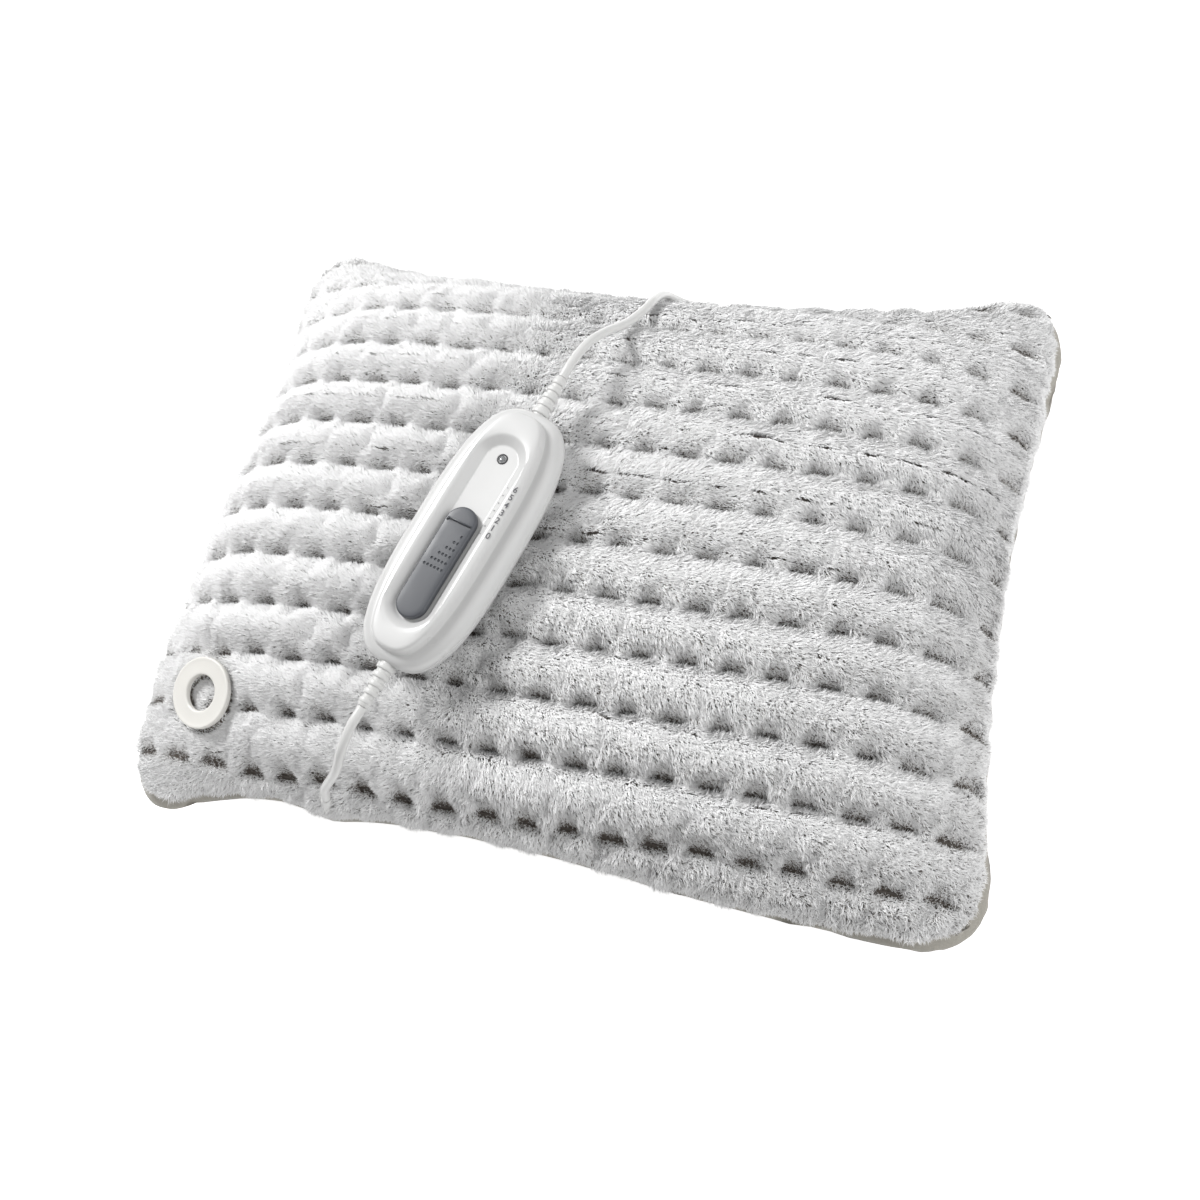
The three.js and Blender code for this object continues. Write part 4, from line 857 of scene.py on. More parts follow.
def plan_point(u, v):
    """Outline map of the pad: u and v from -1 to 1 to X and Y."""
    u, v = np.asarray(u, float), np.asarray(v, float)
    mid = np.where(v < 0, FRONT_MID, BACK_MID)
    corner = np.where(v < 0, FRONT_CORNER, BACK_CORNER)
    rim_x = SIDE_CORNER - (SIDE_CORNER - SIDE_MID) * (1 - v * v)
    rim_y = corner - (corner - mid) * (1 - u * u)
    x = np.abs(u) * SIDE_MID + (rim_x - SIDE_MID) * np.abs(u) ** RIM_POWER
    y = np.abs(v) * mid + (rim_y - mid) * np.abs(v) ** RIM_POWER
    over_x = (x - rim_x) / CORNER_RADIUS + 1
    over_y = (y - rim_y) / CORNER_RADIUS + 1
    rounded = (over_x > 0) & (over_y > 0)
    disc_x = rim_x + CORNER_RADIUS * (over_x * np.sqrt(np.maximum(0, 1 - over_y**2 / 2)) - 1)
    disc_y = rim_y + CORNER_RADIUS * (over_y * np.sqrt(np.maximum(0, 1 - over_x**2 / 2)) - 1)
    return np.sign(u) * np.where(rounded, disc_x, x), np.sign(v) * np.where(rounded, disc_y, y)


def pulled_point(u, v):
    """The outline map with the cloth's own pulls: corners that stand out, an edge drawn in at the lead."""
    x, y = plan_point(u, v)
    moved_x, moved_y = x.copy(), y.copy()
    for at_x, at_y, by_x, by_y, reach in RIM_PULLS:
        share = np.exp(-((x - at_x) ** 2 + (y - at_y) ** 2) / reach**2)
        moved_x += by_x * share
        moved_y += by_y * share
    return moved_x, moved_y


def hank_way():
    """Way of the folded cord: runs joined by round folds, spiralling in, then out one layer up."""
    half = HANK_RUN_POINTS + HANK_FOLD_POINTS
    total = round((2 * HANK_TURNS + HANK_RUN_POINTS / (2 * half)) * 2 * half)
    way = []
    for step in range(total + 1):
        turn = step / (2 * half)
        radius = HANK_FOLD + HANK_PITCH * abs(turn - HANK_TURNS)
        climb = min(1.0, max(0.0, (turn - HANK_TURNS) * 2 + 0.5))
        side = 1 if (step // half) % 2 == 0 else -1
        along = step % half
        z = HANK_Z + HANK_PITCH * climb
        if along < HANK_RUN_POINTS:
            way.append((side * HANK_RUN * (0.5 - along / HANK_RUN_POINTS), HANK_Y + side * radius, z))
        else:
            angle = (along - HANK_RUN_POINTS) / HANK_FOLD_POINTS * math.pi
            x = -side * (HANK_RUN / 2 + radius * math.sin(angle))
            way.append((x, HANK_Y + side * radius * math.cos(angle), z))
    return np.array(way)


def make_gland(axis):
    """Moulded sleeve through which the lead enters the front seam."""
    mesh = placed(turned("lead_gland", GLAND_PROFILE, 40), shifted(*gland_centre()) @ aimed(axis))
    return new_piece("lead_gland", mesh, SOFT_WHITE, stands_for=["seam_gland"])


def make_leads():
    """Both cords with the gland, and the ways that they follow."""
    half = CASE_LENGTH / 2 + GAP
    tip = half + RELIEF_LENGTH + GAP
    straight = 2 * LEAD_DIAMETER
    axis = np.array(GLAND_AXIS) / np.linalg.norm(GLAND_AXIS)
    gland_top = gland_centre() + axis * GLAND_ABOVE
    pad_way = smooth_way(
        [
            case_point(0, -tip, PARTING_Z),
            case_point(0, -tip - straight, PARTING_Z),
            *PAD_LEAD_WAY,
            gland_top + axis * (GAP + straight),
            gland_top + axis * GAP,
        ],
        WAY_SPACING,
    )
    pad_tube = tube("pad_cord", pad_way, LEAD_DIAMETER)
    pad_lead = new_piece("pad_cord", pad_tube, SOFT_WHITE, stands_for=["pad_lead"])
    hank = hank_way()
    ahead = np.array([1.0, 0.0, 0.0])
    hank_start = hank[0] + ahead * LEAD_DIAMETER
    hank_end = hank[-1] - ahead * LEAD_DIAMETER
    first = smooth_way(
        [
            case_point(0, tip, PARTING_Z),
            case_point(0, tip + straight, PARTING_Z),
            *MAINS_LEAD_WAY,
            hank_start + ahead * (GAP + straight),
            hank_start + ahead * GAP,
        ],
        WAY_SPACING,
    )
    entry = np.array(PLUG_PLACE) + ahead * (RELIEF_LENGTH + GAP)
    last = smooth_way(
        [hank_end - ahead * GAP, hank_end - ahead * (GAP + straight), entry + ahead * straight, entry],
        WAY_SPACING,
    )
    mains_way = np.concatenate([first, hank, last])
    mains_lead = new_piece(
        "mains_cord",
        tube("mains_cord", mains_way, LEAD_DIAMETER),
        SOFT_WHITE,
        stands_for=["mains_lead", "mains_lead_hank", "plug_lead"],
    )
    return pad_lead, pad_way, make_gland(axis), mains_lead, mains_way


pad_cord, pad_way, lead_gland, mains_cord, mains_way = make_leads()


# Stage


def seen_rays(tree, *kinds):
    """1 for a ray of one of these kinds, else 0."""
    path = put(tree, "ShaderNodeLightPath").outputs
    seen = path[kinds[0]]
    for kind in kinds[1:]:
        seen = number(tree, "MAXIMUM", seen, path[kind])
    return seen


def make_floor():
    """Pale floor that keeps the shadow and looks white."""
    half = FLOOR_HALF
    corners = [(-half, -half, 0), (half, -half, 0), (half, half, 0), (-half, half, 0)]
    mesh = mesh_of("floor", corners, [(0, 1, 2, 3)])
    new_object("floor", mesh)
    material, tree, shader = new_finish("pale floor", Roughness=0.9, Specular_IOR_Level=0.1)
    shader.inputs["Base Color"].default_value = (FLOOR_GREY, FLOOR_GREY, FLOOR_GREY, 1.0)
    seen = seen_rays(tree, "Is Camera Ray", "Is Glossy Ray", "Is Transmission Ray")
    glow = put(tree, "ShaderNodeEmission", {"Color": (1, 1, 1, 1), "Strength": FLOOR_GLOW})
    both = put(tree, "ShaderNodeAddShader", {0: shader.outputs[0], 1: glow.outputs[0]})
    pick = put(tree, "ShaderNodeMixShader", {0: seen, 1: shader.outputs[0], 2: both.outputs[0]})
    tree.links.new(pick.outputs[0], tree.nodes["Material Output"].inputs["Surface"])
    mesh.materials.append(material)


def make_world():
    world = bpy.data.worlds.new("studio")
    scene.world = world
    world.use_nodes = True
    sky = world.node_tree
    sky.nodes.clear()
    seen = seen_rays(sky, "Is Camera Ray", "Is Transmission Ray")
    soft, white = (
        put(sky, "ShaderNodeBackground", {"Color": (1, 1, 1, 1), "Strength": level}).outputs[0]
        for level in (WORLD_LEVEL, 1.0)
    )
    pick = put(sky, "ShaderNodeMixShader", {0: seen, 1: soft, 2: white})
    put(sky, "ShaderNodeOutputWorld", {"Surface": pick.outputs[0]})


def make_lamps():
    for name, toward, distance, size, power in LAMPS:
        lamp = bpy.data.lights.new(name, "AREA")
        lamp.energy = power
        lamp.size = size
        holder = new_object(name, lamp)
        direction = Vector(toward).normalized()
        holder.location = direction * distance + Vector(LAMP_AIM) * MM
        holder.rotation_mode = "QUATERNION"
        holder.rotation_quaternion = (-direction).to_track_quat("-Z", "Y")


make_floor()
make_world()
make_lamps()


# Plush cover


def swell(u, v, power_y):
    """Height share of the pad: 1 in the middle, 0 at the rim."""
    across = 1 - np.abs(u) ** CROWN_POWER_X
    return np.sqrt(np.maximum(0, across * (1 - np.abs(v) ** power_y)))


def crown_swell(u, v):
    return np.where(v < 0, swell(u, v, CROWN_POWER_FRONT), swell(u, v, CROWN_POWER_BACK))


def outward(u, v, power_y):
    """Plan direction in which the pad falls away; the margin keeps it whole at the corners."""
    fall_x = np.abs(u) ** (CROWN_POWER_X - 1) * np.sign(u) * (1 + CORNER_MARGIN - np.abs(v) ** power_y)
    fall_y = np.abs(v) ** (power_y - 1) * np.sign(v) * (1 + CORNER_MARGIN - np.abs(u) ** CROWN_POWER_X)
    fall_x = CROWN_POWER_X / SIDE_MID * fall_x
    fall_y = power_y / FRONT_MID * fall_y
    size = np.hypot(fall_x, fall_y) + 1e-9
    return fall_x / size, fall_y / size


def weld_places():
    """Middle of each weld, and its share of the full length."""
    random = np.random.default_rng(WELD_SEED)
    places = []
    for row in range(ROW_COUNT + 1):
        y = FIRST_ROW_Y + row * ROW_PITCH
        v = np.clip(y / (FRONT_MID if y < 0 else BACK_MID), -1, 1)
        for column in np.arange(-COLUMN_LAST, COLUMN_LAST + 1):
            x = COLUMN_PITCH * column * (1 + COLUMN_SPREAD * (1 - v * v))
            along, across, longer = WELD_JITTER * random.uniform(-1, 1, 3)
            if row == ROW_COUNT and abs(x) < BACK_ROW_FREE:
                continue
            places.append((x + along, y + across, 1 + longer))
    return np.array(places)


WELDS = weld_places()


def smoothstep(value, low, high):
    t = np.clip((value - low) / (high - low), 0, 1)
    return t * t * (3 - 2 * t)


def weld_distance(x, y, front=1.0, behind=1.0, narrowing=0.0):
    """Distance to the nearest weld's line, stretched in front of it and behind it, where it narrows."""
    near = np.full(x.shape, 1e9)
    for wx, wy, share in WELDS:
        half = np.maximum(0.5, share * WELD_LENGTH / 2 - narrowing * np.maximum(0, y - wy))
        beyond = np.maximum(0, np.abs(x - wx) - half)
        apart = np.where(y < wy, front * (wy - y), behind * (y - wy))
        near = np.minimum(near, np.hypot(beyond, apart))
    return near


def ring_distance(x, y):
    return np.hypot(x - RING_PLACE[0], y - RING_PLACE[1])


def case_reach(x, y):
    """Plan position as a share of the controller's half size: 1 at its sides and ends."""
    dx, dy = x - CASE_PLACE[0], y - CASE_PLACE[1]
    c, s = math.cos(CASE_TURN), math.sin(CASE_TURN)
    across, along = c * dx + s * dy, -s * dx + c * dy
    return np.maximum(np.abs(across) / CASE_WIDTH, np.abs(along) / CASE_LENGTH) * 2


def quilt_height(x, y, swelling):
    """Padding above the weld lines: rolls between the rows, lower saddles between the welds of a row."""
    phase = (y - FIRST_ROW_Y) / ROW_PITCH
    roll = np.abs(np.sin(math.pi * phase)) ** CHANNEL_POWER
    near = weld_distance(x, y)
    saddle = SADDLE_SHARE * smoothstep(near, 0.0, SADDLE_REACH)
    height = CHANNEL_RISE * (roll + (1 - roll) * saddle) - WELD_DROP * np.exp(-((near / WELD_REACH) ** 2))
    beside = smoothstep(ring_distance(x, y), RING_OUTER / 2 - 3, RING_OUTER / 2 + 12)
    plain = 0.22 * (1 - smoothstep(x, *LEFT_PLAIN))
    fade = smoothstep(swelling, CHANNEL_FADE[0] + plain, CHANNEL_FADE[1] + 0.6 * plain)
    return height * fade * beside, near


def rim_stations(count, power):
    """Stations from -1 to 1, closer together at the rim."""
    half = 1 - (1 - np.linspace(0, 1, count)) ** power
    return np.concatenate([-half[:0:-1], half])


def grid_normals(points):
    """Unit normals; at a corner, where the rim's two directions meet in one line, the next point's own."""
    normals = np.cross(np.gradient(points, axis=1), np.gradient(points, axis=0))
    for row, inner_row in ((0, 1), (-1, -2)):
        for column, inner_column in ((0, 1), (-1, -2)):
            normals[row, column] = normals[inner_row, inner_column]
    return normals / (np.linalg.norm(normals, axis=-1, keepdims=True) + 1e-9)


def seam_inset(u, v):
    """How far the seam lies inside the outline: most at the corners."""
    return SEAM_INSET + (SEAM_CORNER_INSET - SEAM_INSET) * smoothstep(np.abs(u * v), *SEAM_CORNER_FADE)


def doubled(values):
    """Grid with a mean row and a mean column set between its own."""
    rows, columns = values.shape[:2]
    fine = np.zeros((2 * rows - 1, 2 * columns - 1, 3))
    fine[::2, ::2] = values
    fine[1::2, ::2] = (values[:-1] + values[1:]) / 2
    fine[:, 1::2] = (fine[:, :-2:2] + fine[:, 2::2]) / 2
    return fine


def puffed(name, grid, held):
    """Cloth grid blown up by a short simulation on every second point, held where held is 1."""
    coarse = grid[::2, ::2]
    mesh = mesh_of(name, coarse.reshape(-1, 3), strip_faces(*coarse.shape[:2], closed=False), ALL_SMOOTH)
    sheet = new_object(name, mesh)
    group = sheet.vertex_groups.new(name="held")
    for index, weight in enumerate(held[::2, ::2].ravel()):
        if weight > 0:
            group.add([index], float(weight), "REPLACE")
    cloth = sheet.modifiers.new("cloth", "CLOTH")
    cloth.collision_settings.use_collision = False
    cloth.point_cache.frame_start = 1
    cloth.point_cache.frame_end = PUFF_FRAMES
    cloth.settings.effector_weights.gravity = 0
    for setting, value in PUFF_CLOTH.items():
        setattr(cloth.settings, setting, value)
    for step in range(1, PUFF_FRAMES + 1):
        scene.frame_set(step)
    graph = bpy.context.evaluated_depsgraph_get()
    blown = sheet.evaluated_get(graph).to_mesh()
    places = np.zeros(len(blown.vertices) * 3)
    blown.vertices.foreach_get("co", places)
    bpy.data.objects.remove(sheet)
    scene.frame_set(1)
    moved = places.reshape(coarse.shape) / MM - coarse
    far = np.linalg.norm(moved, axis=-1, keepdims=True)
    moved = moved * np.minimum(1, PUFF_CAP / (far + 1e-9))
    return grid + doubled(moved)


def plush_grid():
    """Cloth under the pile: the crown sunk by the pile's depth, quilted, blown up between the welds."""
    u, v = np.meshgrid(*(rim_stations(*stations) for stations in PLUSH_STATIONS))
    swelling = crown_swell(u, v)
    crown = np.stack([*pulled_point(u, v), SEAM_Z + CROWN * swelling], -1)
    inset = seam_inset(u, v)
    depth = inset + (PILE_DEPTH - inset) * smoothstep(swelling, 0.0, 0.4)
    points = crown - grid_normals(crown) * depth[..., None]
    x, y = points[..., 0], points[..., 1]
    quilt, near = quilt_height(x, y, swelling)
    points[..., 2] = np.maximum(points[..., 2], SEAM_Z) + quilt
    points[..., 2] += SEAM_LIFT * (1 - smoothstep(swelling, 0.0, 0.3))
    rim_width = 0.3 + 0.5 * (1 - smoothstep(x, *LEFT_PLAIN))
    held = np.maximum.reduce(
        [
            1 - smoothstep(near, 1.5, 5.0),
            1 - smoothstep(swelling, 0.05, rim_width),
            1 - smoothstep(ring_distance(x, y), RING_OUTER / 2, RING_OUTER / 2 + 8),
            1 - smoothstep(case_reach(x, y), 0.8, 1.1),
        ]
    )
    return u, v, puffed("plush_sheet", points, held), swelling, near


def pile_fields(u, v, x, y, swelling, near):
    """Density, length share, ruffle, lean and tone of the pile at each grid point; the tone is painted light
    and shade.
    """
    combed = smoothstep(x, *LEFT_COMB)
    swept = 1 - combed
    rim = 1 - smoothstep(swelling, 0.1, 0.45)
    phase = np.mod((y - FIRST_ROW_Y) / ROW_PITCH, 1)
    # lying marks the rolls' crests, where the fibres lie and where the tone is lightened as painted light
    lying = smoothstep(phase, 0.35, 0.75) * smoothstep(swelling, 0.3, 0.6)
    ruffle = (1.15 - 0.7 * lying) * (1.05 - 0.45 * smoothstep(y, -60.0, 90.0)) * (0.4 + 0.6 * combed)

    # Short and sparse at each weld, and darkened there as painted shade of its crease, in a fan that closes
    # behind it
    fan = weld_distance(x, y, *FAN_SHAPE) + 6 * (1 - smoothstep(swelling, *WELD_FADE))
    density = smoothstep(fan, WELD_WIDTH * 0.3, WELD_WIDTH * 0.9)
    length = 0.35 + 0.65 * smoothstep(fan, 1.0, 5.0)
    tone = 0.45 * smoothstep(fan, 0.8, 2.4) + 0.62 * smoothstep(fan, 1.6, 5.2)
    plain = swept * (1 - smoothstep(swelling, 0.45, 0.75)) * smoothstep(y, -115.0, -85.0)
    # The factor on lying lightens the crests as painted light; the last factor darkens the swept left side
    # and its rim as painted shade
    tone = (tone + (1 - tone) * 0.7 * plain) * (0.9 + 0.3 * lying) * (1 - (0.22 + 0.2 * rim) * swept)

    # Pressed down under the controller and the ring, ragged at the rim
    length = length * (0.55 + 0.45 * smoothstep(case_reach(x, y), 0.84, 1.04))
    ring = ring_distance(x, y)
    past_bore = smoothstep(ring, RING_BORE / 2 - 2, RING_BORE / 2)
    on_ring = past_bore * (1 - smoothstep(ring, RING_OUTER / 2 - 1, RING_OUTER / 2 + 1.5))
    length = length * (1 - 0.8 * on_ring)
    density = density * (1 - 0.7 * on_ring)
    length = length * (1 - 0.3 * (1 - past_bore))
    ragged = np.sin(x / 4.3 + 3 * np.sin(y / 9)) * np.sin(y / 3.7 + 2 * np.sin(x / 11))
    length = length * (1 + rim * (0.3 * ragged - 0.1))

    # Leans with wandering strokes on the right and is swept to the left on the left
    heading = -0.42 + 0.55 * np.sin(x / 61 + 1.3) * np.cos(y / 47 - 0.4) + 0.25 * np.sin((x + 2 * y) / 38)
    amount = 0.66 - 0.3 * smoothstep(u - 0.6 * v, 0.5, 1.1)
    amount = amount * (0.35 + 0.65 * smoothstep(near, 1.0, 6.0))
    lean_x = amount * (combed * np.cos(heading) - swept * 0.9) * (1 - 0.8 * rim)
    lean_y = amount * (combed * np.sin(heading) + swept * 0.3) * (1 - 0.8 * rim)
    lean_z = -0.35 * rim * (1 - smoothstep(swelling, 0.0, 0.3))
    return density, length, ruffle, np.stack([lean_x, lean_y, lean_z], -1), tone


def pile_tree(blade):
    """Fibres scattered on a face: each leans with its field and gathers to the middle of its clump."""
    tree, given, out = new_group(
        "plush pile",
        "GeometryNodeTree",
        [
            ("Geometry", "NodeSocketGeometry", None),
            ("Fibres per square metre", "NodeSocketFloat", PILE_DENSITY / MM**2),
            ("Length", "NodeSocketFloat", PILE_LENGTH * MM),
            ("Width", "NodeSocketFloat", PILE_WIDTH * MM),
            ("Clump size", "NodeSocketFloat", CLUMP_SIZE * MM),
            ("Clump pull", "NodeSocketFloat", CLUMP_PULL),
            ("Ruffle", "NodeSocketFloat", RUFFLE),
            ("Seed", "NodeSocketInt", 3),
        ],
        [("Geometry", "NodeSocketGeometry")],
    )
    scalar, arrow, field = (partial(made, tree) for made in (number, vector, named))

    def chance(low, high, seed):
        return put(tree, "FunctionNodeRandomValue", {2: low, 3: high, "Seed": seed}).outputs[1]

    def stored(geometry, name, value, kind):
        values = {"Geometry": geometry, "Name": name, "Value": value}
        node = put(tree, "GeometryNodeStoreNamedAttribute", values, data_type=kind, domain="POINT")
        return node.outputs["Geometry"]

    thick = scalar("MULTIPLY", given["Fibres per square metre"], field("pile_density"))
    values = {"Mesh": given["Geometry"], "Density": thick, "Seed": given["Seed"]}
    spread = put(tree, "GeometryNodeDistributePointsOnFaces", values).outputs
    place = put(tree, "GeometryNodeInputPosition").outputs["Position"]
    lean = field("pile_lean", "FLOAT_VECTOR")
    unruly = field("pile_ruffle")

    # Direction: the face's normal, its lean, the pull of the clump, a wandering ruffle and a stray part
    values = {"Vector": place, "Scale": scalar("DIVIDE", 1.0, given["Clump size"]), "Randomness": 1.0}
    clump = put(tree, "ShaderNodeTexVoronoi", values).outputs
    pull = scalar("MULTIPLY", scalar("DIVIDE", given["Clump pull"], given["Length"]), unruly)
    gathered = arrow("SCALE", arrow("SUBTRACT", clump["Position"], place), pull)
    centred = arrow("SUBTRACT", noise(tree, place, RUFFLE_SCALE, 3.0)["Color"], (0.5, 0.5, 0.5))
    ruffled = arrow("SCALE", arrow("SCALE", centred, scalar("MULTIPLY", given["Ruffle"], unruly)), 2.0)
    values = {0: (-STRAY, -STRAY, -STRAY), 1: (STRAY, STRAY, STRAY), "Seed": STRAY_SEED}
    stray = put(tree, "FunctionNodeRandomValue", values, data_type="FLOAT_VECTOR").outputs[0]
    growth = spread["Normal"]
    for part in (lean, gathered, ruffled, stray):
        growth = arrow("ADD", growth, part)
    align = "FunctionNodeAlignRotationToVector"
    upright = put(tree, align, {"Vector": growth}, axis="Z").outputs["Rotation"]
    values = {"Rotation": upright, "Vector": spread["Normal"]}
    facing_up = put(tree, align, values, axis="Y", pivot_axis="Z").outputs["Rotation"]
    values = {"Axis": (0, 0, 1), "Angle": chance(-SPIN, SPIN, SPIN_SEED)}
    spin = put(tree, "FunctionNodeAxisAngleToRotation", values).outputs["Rotation"]
    values = {"Rotation": facing_up, "Rotate By": spin}
    rotation = put(tree, "FunctionNodeRotateRotation", values, rotation_space="LOCAL").outputs["Rotation"]

    # Size, and tone with its painted light and shade
    long = scalar("MULTIPLY", given["Length"], chance(*TALLNESS, TALL_SEED))
    long = scalar("MULTIPLY", long, field("pile_length"))
    size = put(tree, "ShaderNodeCombineXYZ", {"X": given["Width"], "Y": given["Width"], "Z": long})
    shade = put(tree, "FunctionNodeSeparateColor", {"Color": clump["Color"]}).outputs["Red"]
    # Flecks: fibres darkened at random, as painted shade of the small gaps between tips
    painted_flecks = scalar("MULTIPLY", scalar("POWER", chance(0.0, 1.0, FLECK_SEED), 3.0), unruly)
    paler = scalar("MULTIPLY", shade, TONE_CLUMP)
    darker = scalar("MULTIPLY", painted_flecks, TONE_FLECK)
    mixed = scalar("ADD", scalar("SUBTRACT", paler, darker), TONE_BASE)
    mixed = scalar("MAXIMUM", mixed, 0.0)
    # The field of painted light and shade scales the tone
    tone = scalar("MINIMUM", scalar("MULTIPLY", mixed, field("pile_shade")), 1.0)

    # Shading normal, nearer to the face's than to the fibre's
    facing = arrow("SUBTRACT", spread["Normal"], arrow("SCALE", gathered, FACING_CLUMP))
    facing = arrow("SUBTRACT", facing, arrow("SCALE", lean, FACING_LEAN))
    facing = arrow("ADD", facing, arrow("SCALE", stray, FACING_STRAY))

    points = stored(spread["Points"], "pile_tone", tone, "FLOAT")
    points = stored(points, "pile_facing", facing, "FLOAT_VECTOR")
    fibres = copied(tree, points, blade, rotation, size.outputs["Vector"])
    values = {"Mesh": fibres, "Custom Normal": field("pile_facing", "FLOAT_VECTOR")}
    fibres = put(tree, "GeometryNodeSetMeshNormal", values, mode="FREE", domain="POINT").outputs["Mesh"]
    fibres = put(tree, "GeometryNodeRemoveAttribute", {"Geometry": fibres, "Name": "pile_facing"})
    return dressed(tree, fibres.outputs["Geometry"], PILE, out)


def new_blade():
    """One fibre: a folded leaf of two triangles, one unit long, whose tip droops."""
    mesh = bpy.data.meshes.new("fibre")
    corners = [(0, 0, 0), (-0.5, 1.6, 0.5), (0.5, 1.6, 0.5), (0, -1.8, 0.96)]
    mesh.from_pydata(corners, [], [(0, 1, 2), (1, 3, 2)])
    share = mesh.attributes.new("pile_t", "FLOAT", "POINT")
    share.data.foreach_set("value", [0.0, 0.5, 0.5, 1.0])
    return new_object("fibre", mesh)


def pile_map(mesh):
    """Map on which every fibre shares one strip: tone across, root to tip upwards."""
    count = len(mesh.vertices)
    tone = np.zeros(count, np.float32)
    share = np.zeros(count, np.float32)
    mesh.attributes["pile_tone"].data.foreach_get("value", tone)
    mesh.attributes["pile_t"].data.foreach_get("value", share)
    corner = np.zeros(len(mesh.loops), np.int32)
    mesh.loops.foreach_get("vertex_index", corner)
    layer = mesh.uv_layers.new(name="OFBake")
    spots = MAP_MARGIN + MAP_SPAN * np.stack([tone[corner], share[corner]], 1)
    layer.data.foreach_set("uv", spots.astype(np.float32).ravel())


def weld_marks(points, faces):
    """Pressed dashes of the quilting welds, lying on the cloth."""
    ground = BVHTree.FromPolygons(points.tolist(), faces)
    places = []
    for x, y, share in WELDS:
        spot, normal, _, _ = ground.ray_cast(Vector((x, y, 200.0)), Vector((0, 0, -1)))
        if spot is None:
            continue
        along = (Vector((1, 0, 0)) - normal * normal.x).normalized()
        turn = Matrix((along, normal.cross(along), normal)).transposed().to_4x4()
        places.append(shifted(*(spot - WELD_SINK * normal)) @ turn @ Matrix.Diagonal((share, 1, 1, 1)))
    marks = set_out("weld_marks", bar(WELD_LENGTH, WELD_WIDTH, WELD_THICKNESS, WELD_EDGE), WELD_FILM, places)
    new_piece("weld_marks", marks, WELD_FILM)


def seam_bead(grid):
    """Overlocked edge that runs round the pad between its two cloths."""
    rim = np.concatenate([grid[0, :-1], grid[:-1, -1], grid[-1, :0:-1], grid[:0:-1, 0]])
    steps = np.linalg.norm(rim - np.roll(rim, -1, axis=0), axis=1)
    way = rim[steps > SEAM_STEP]
    way = np.vstack([way, way[:3]]) - (0, 0, SEAM_DROP)
    new_piece("seam_bead", tube("seam_bead", way, SEAM_BEAD, 8), SEAM_THREAD)


def make_plush():
    """Backing cloth, rows of pile, welds and seam bead."""
    u, v, grid, swelling, near = plush_grid()
    rows, columns = u.shape
    points = grid.reshape(-1, 3)
    faces = strip_faces(rows, columns, closed=False)
    mesh = mesh_of("plush_backing", points, faces, ALL_SMOOTH)
    # The last field is painted light and shade: dark fans at the welds and on the left, lighter crests
    density, length, ruffle, lean, shade = pile_fields(u, v, grid[..., 0], grid[..., 1], swelling, near)
    fields = {"pile_density": density, "pile_length": length, "pile_ruffle": ruffle, "pile_shade": shade}
    backing = new_piece(
        "plush_backing", mesh, BACKING, stands_for=["plush_cover", "upper_wadding"]
    )
    blade = new_blade()
    tree = pile_tree(blade)
    bounds = np.linspace(0, rows - 1, PILE_STRIPS + 1).round().astype(int)
    for index, (low, high) in enumerate(zip(bounds, bounds[1:])):
        strip = bpy.data.meshes.new("strip")
        strip.from_pydata((points * MM).tolist(), [], faces[low * (columns - 1) : high * (columns - 1)])
        strip.update()
        strip.shade_smooth()
        for name, values in fields.items():
            strip.attributes.new(name, "FLOAT", "POINT").data.foreach_set("value", values.ravel())
        strip.attributes.new("pile_lean", "FLOAT_VECTOR", "POINT").data.foreach_set("vector", lean.ravel())
        holder = new_object("strip", strip)
        pile = tree_result(holder, tree, f"pile_row_{index + 1:02d}", {"Seed": PILE_SEED + index})
        pile_map(pile)
        new_piece(pile.name, pile, PILE)
        bpy.data.objects.remove(holder)
        bpy.data.meshes.remove(strip)
    bpy.data.objects.remove(blade)
    weld_marks(points, faces)
    seam_bead(grid)


make_plush()


# Back cover


def make_back():
    """Back cover, settled flat on the floor and tucked in at the seam."""
    u, v = np.meshgrid(*(rim_stations(*stations) for stations in BACK_STATIONS))
    x, y = pulled_point(u, v)
    fall = swell(u, v, BELLY_POWER)
    dx, dy = outward(u, v, BELLY_POWER)
    settled = np.interp(fall, *zip(*BACK_SETTLE))
    tucked = seam_inset(u, v) * (1 - smoothstep(fall, 0.0, BACK_TUCK_FADE)) ** BACK_TUCK_POWER
    x, y = x + dx * (settled - tucked), y + dy * (settled - tucked)
    lift = (SEAM_LIFT + BACK_LIFT) * (1 - smoothstep(fall, 0.0, BACK_LIFT_FADE))
    waves = np.sin(x / 6.1 + 2.0 * np.sin(y / 23)) * np.sin(y / 5.3 + 1.7 * np.sin(x / 29))
    z = np.maximum(0, SEAM_Z - BELLY * fall + lift + BACK_CREASE * waves * smoothstep(fall, 0.1, 0.3))
    held = np.maximum(1 - smoothstep(fall, 0.02, 0.2), smoothstep(fall, 0.75, 0.9))
    points = puffed("back_sheet", np.stack([x, y, z], -1), held)
    points[..., 2] = np.maximum(0, points[..., 2])
    faces = [tuple(reversed(f)) for f in strip_faces(*u.shape, closed=False)]
    mesh = mesh_of("back_cloth", points.reshape(-1, 3), faces, ALL_SMOOTH)
    inside = ["back_cover", "lower_wadding"]
    back = new_piece("back_cloth", mesh, MICROFIBRE, stands_for=inside)


make_back()


# Controller


def even_ring(points, count):
    """Closed outline sampled again at even steps from its first point."""
    closed = np.vstack([points, points[:1]])
    steps = np.concatenate([[0], np.cumsum(np.linalg.norm(np.diff(closed, axis=0), axis=1))])
    at = np.linspace(0, steps[-1], count, endpoint=False)
    return np.stack([np.interp(at, steps, closed[:, 0]), np.interp(at, steps, closed[:, 1])], 1)


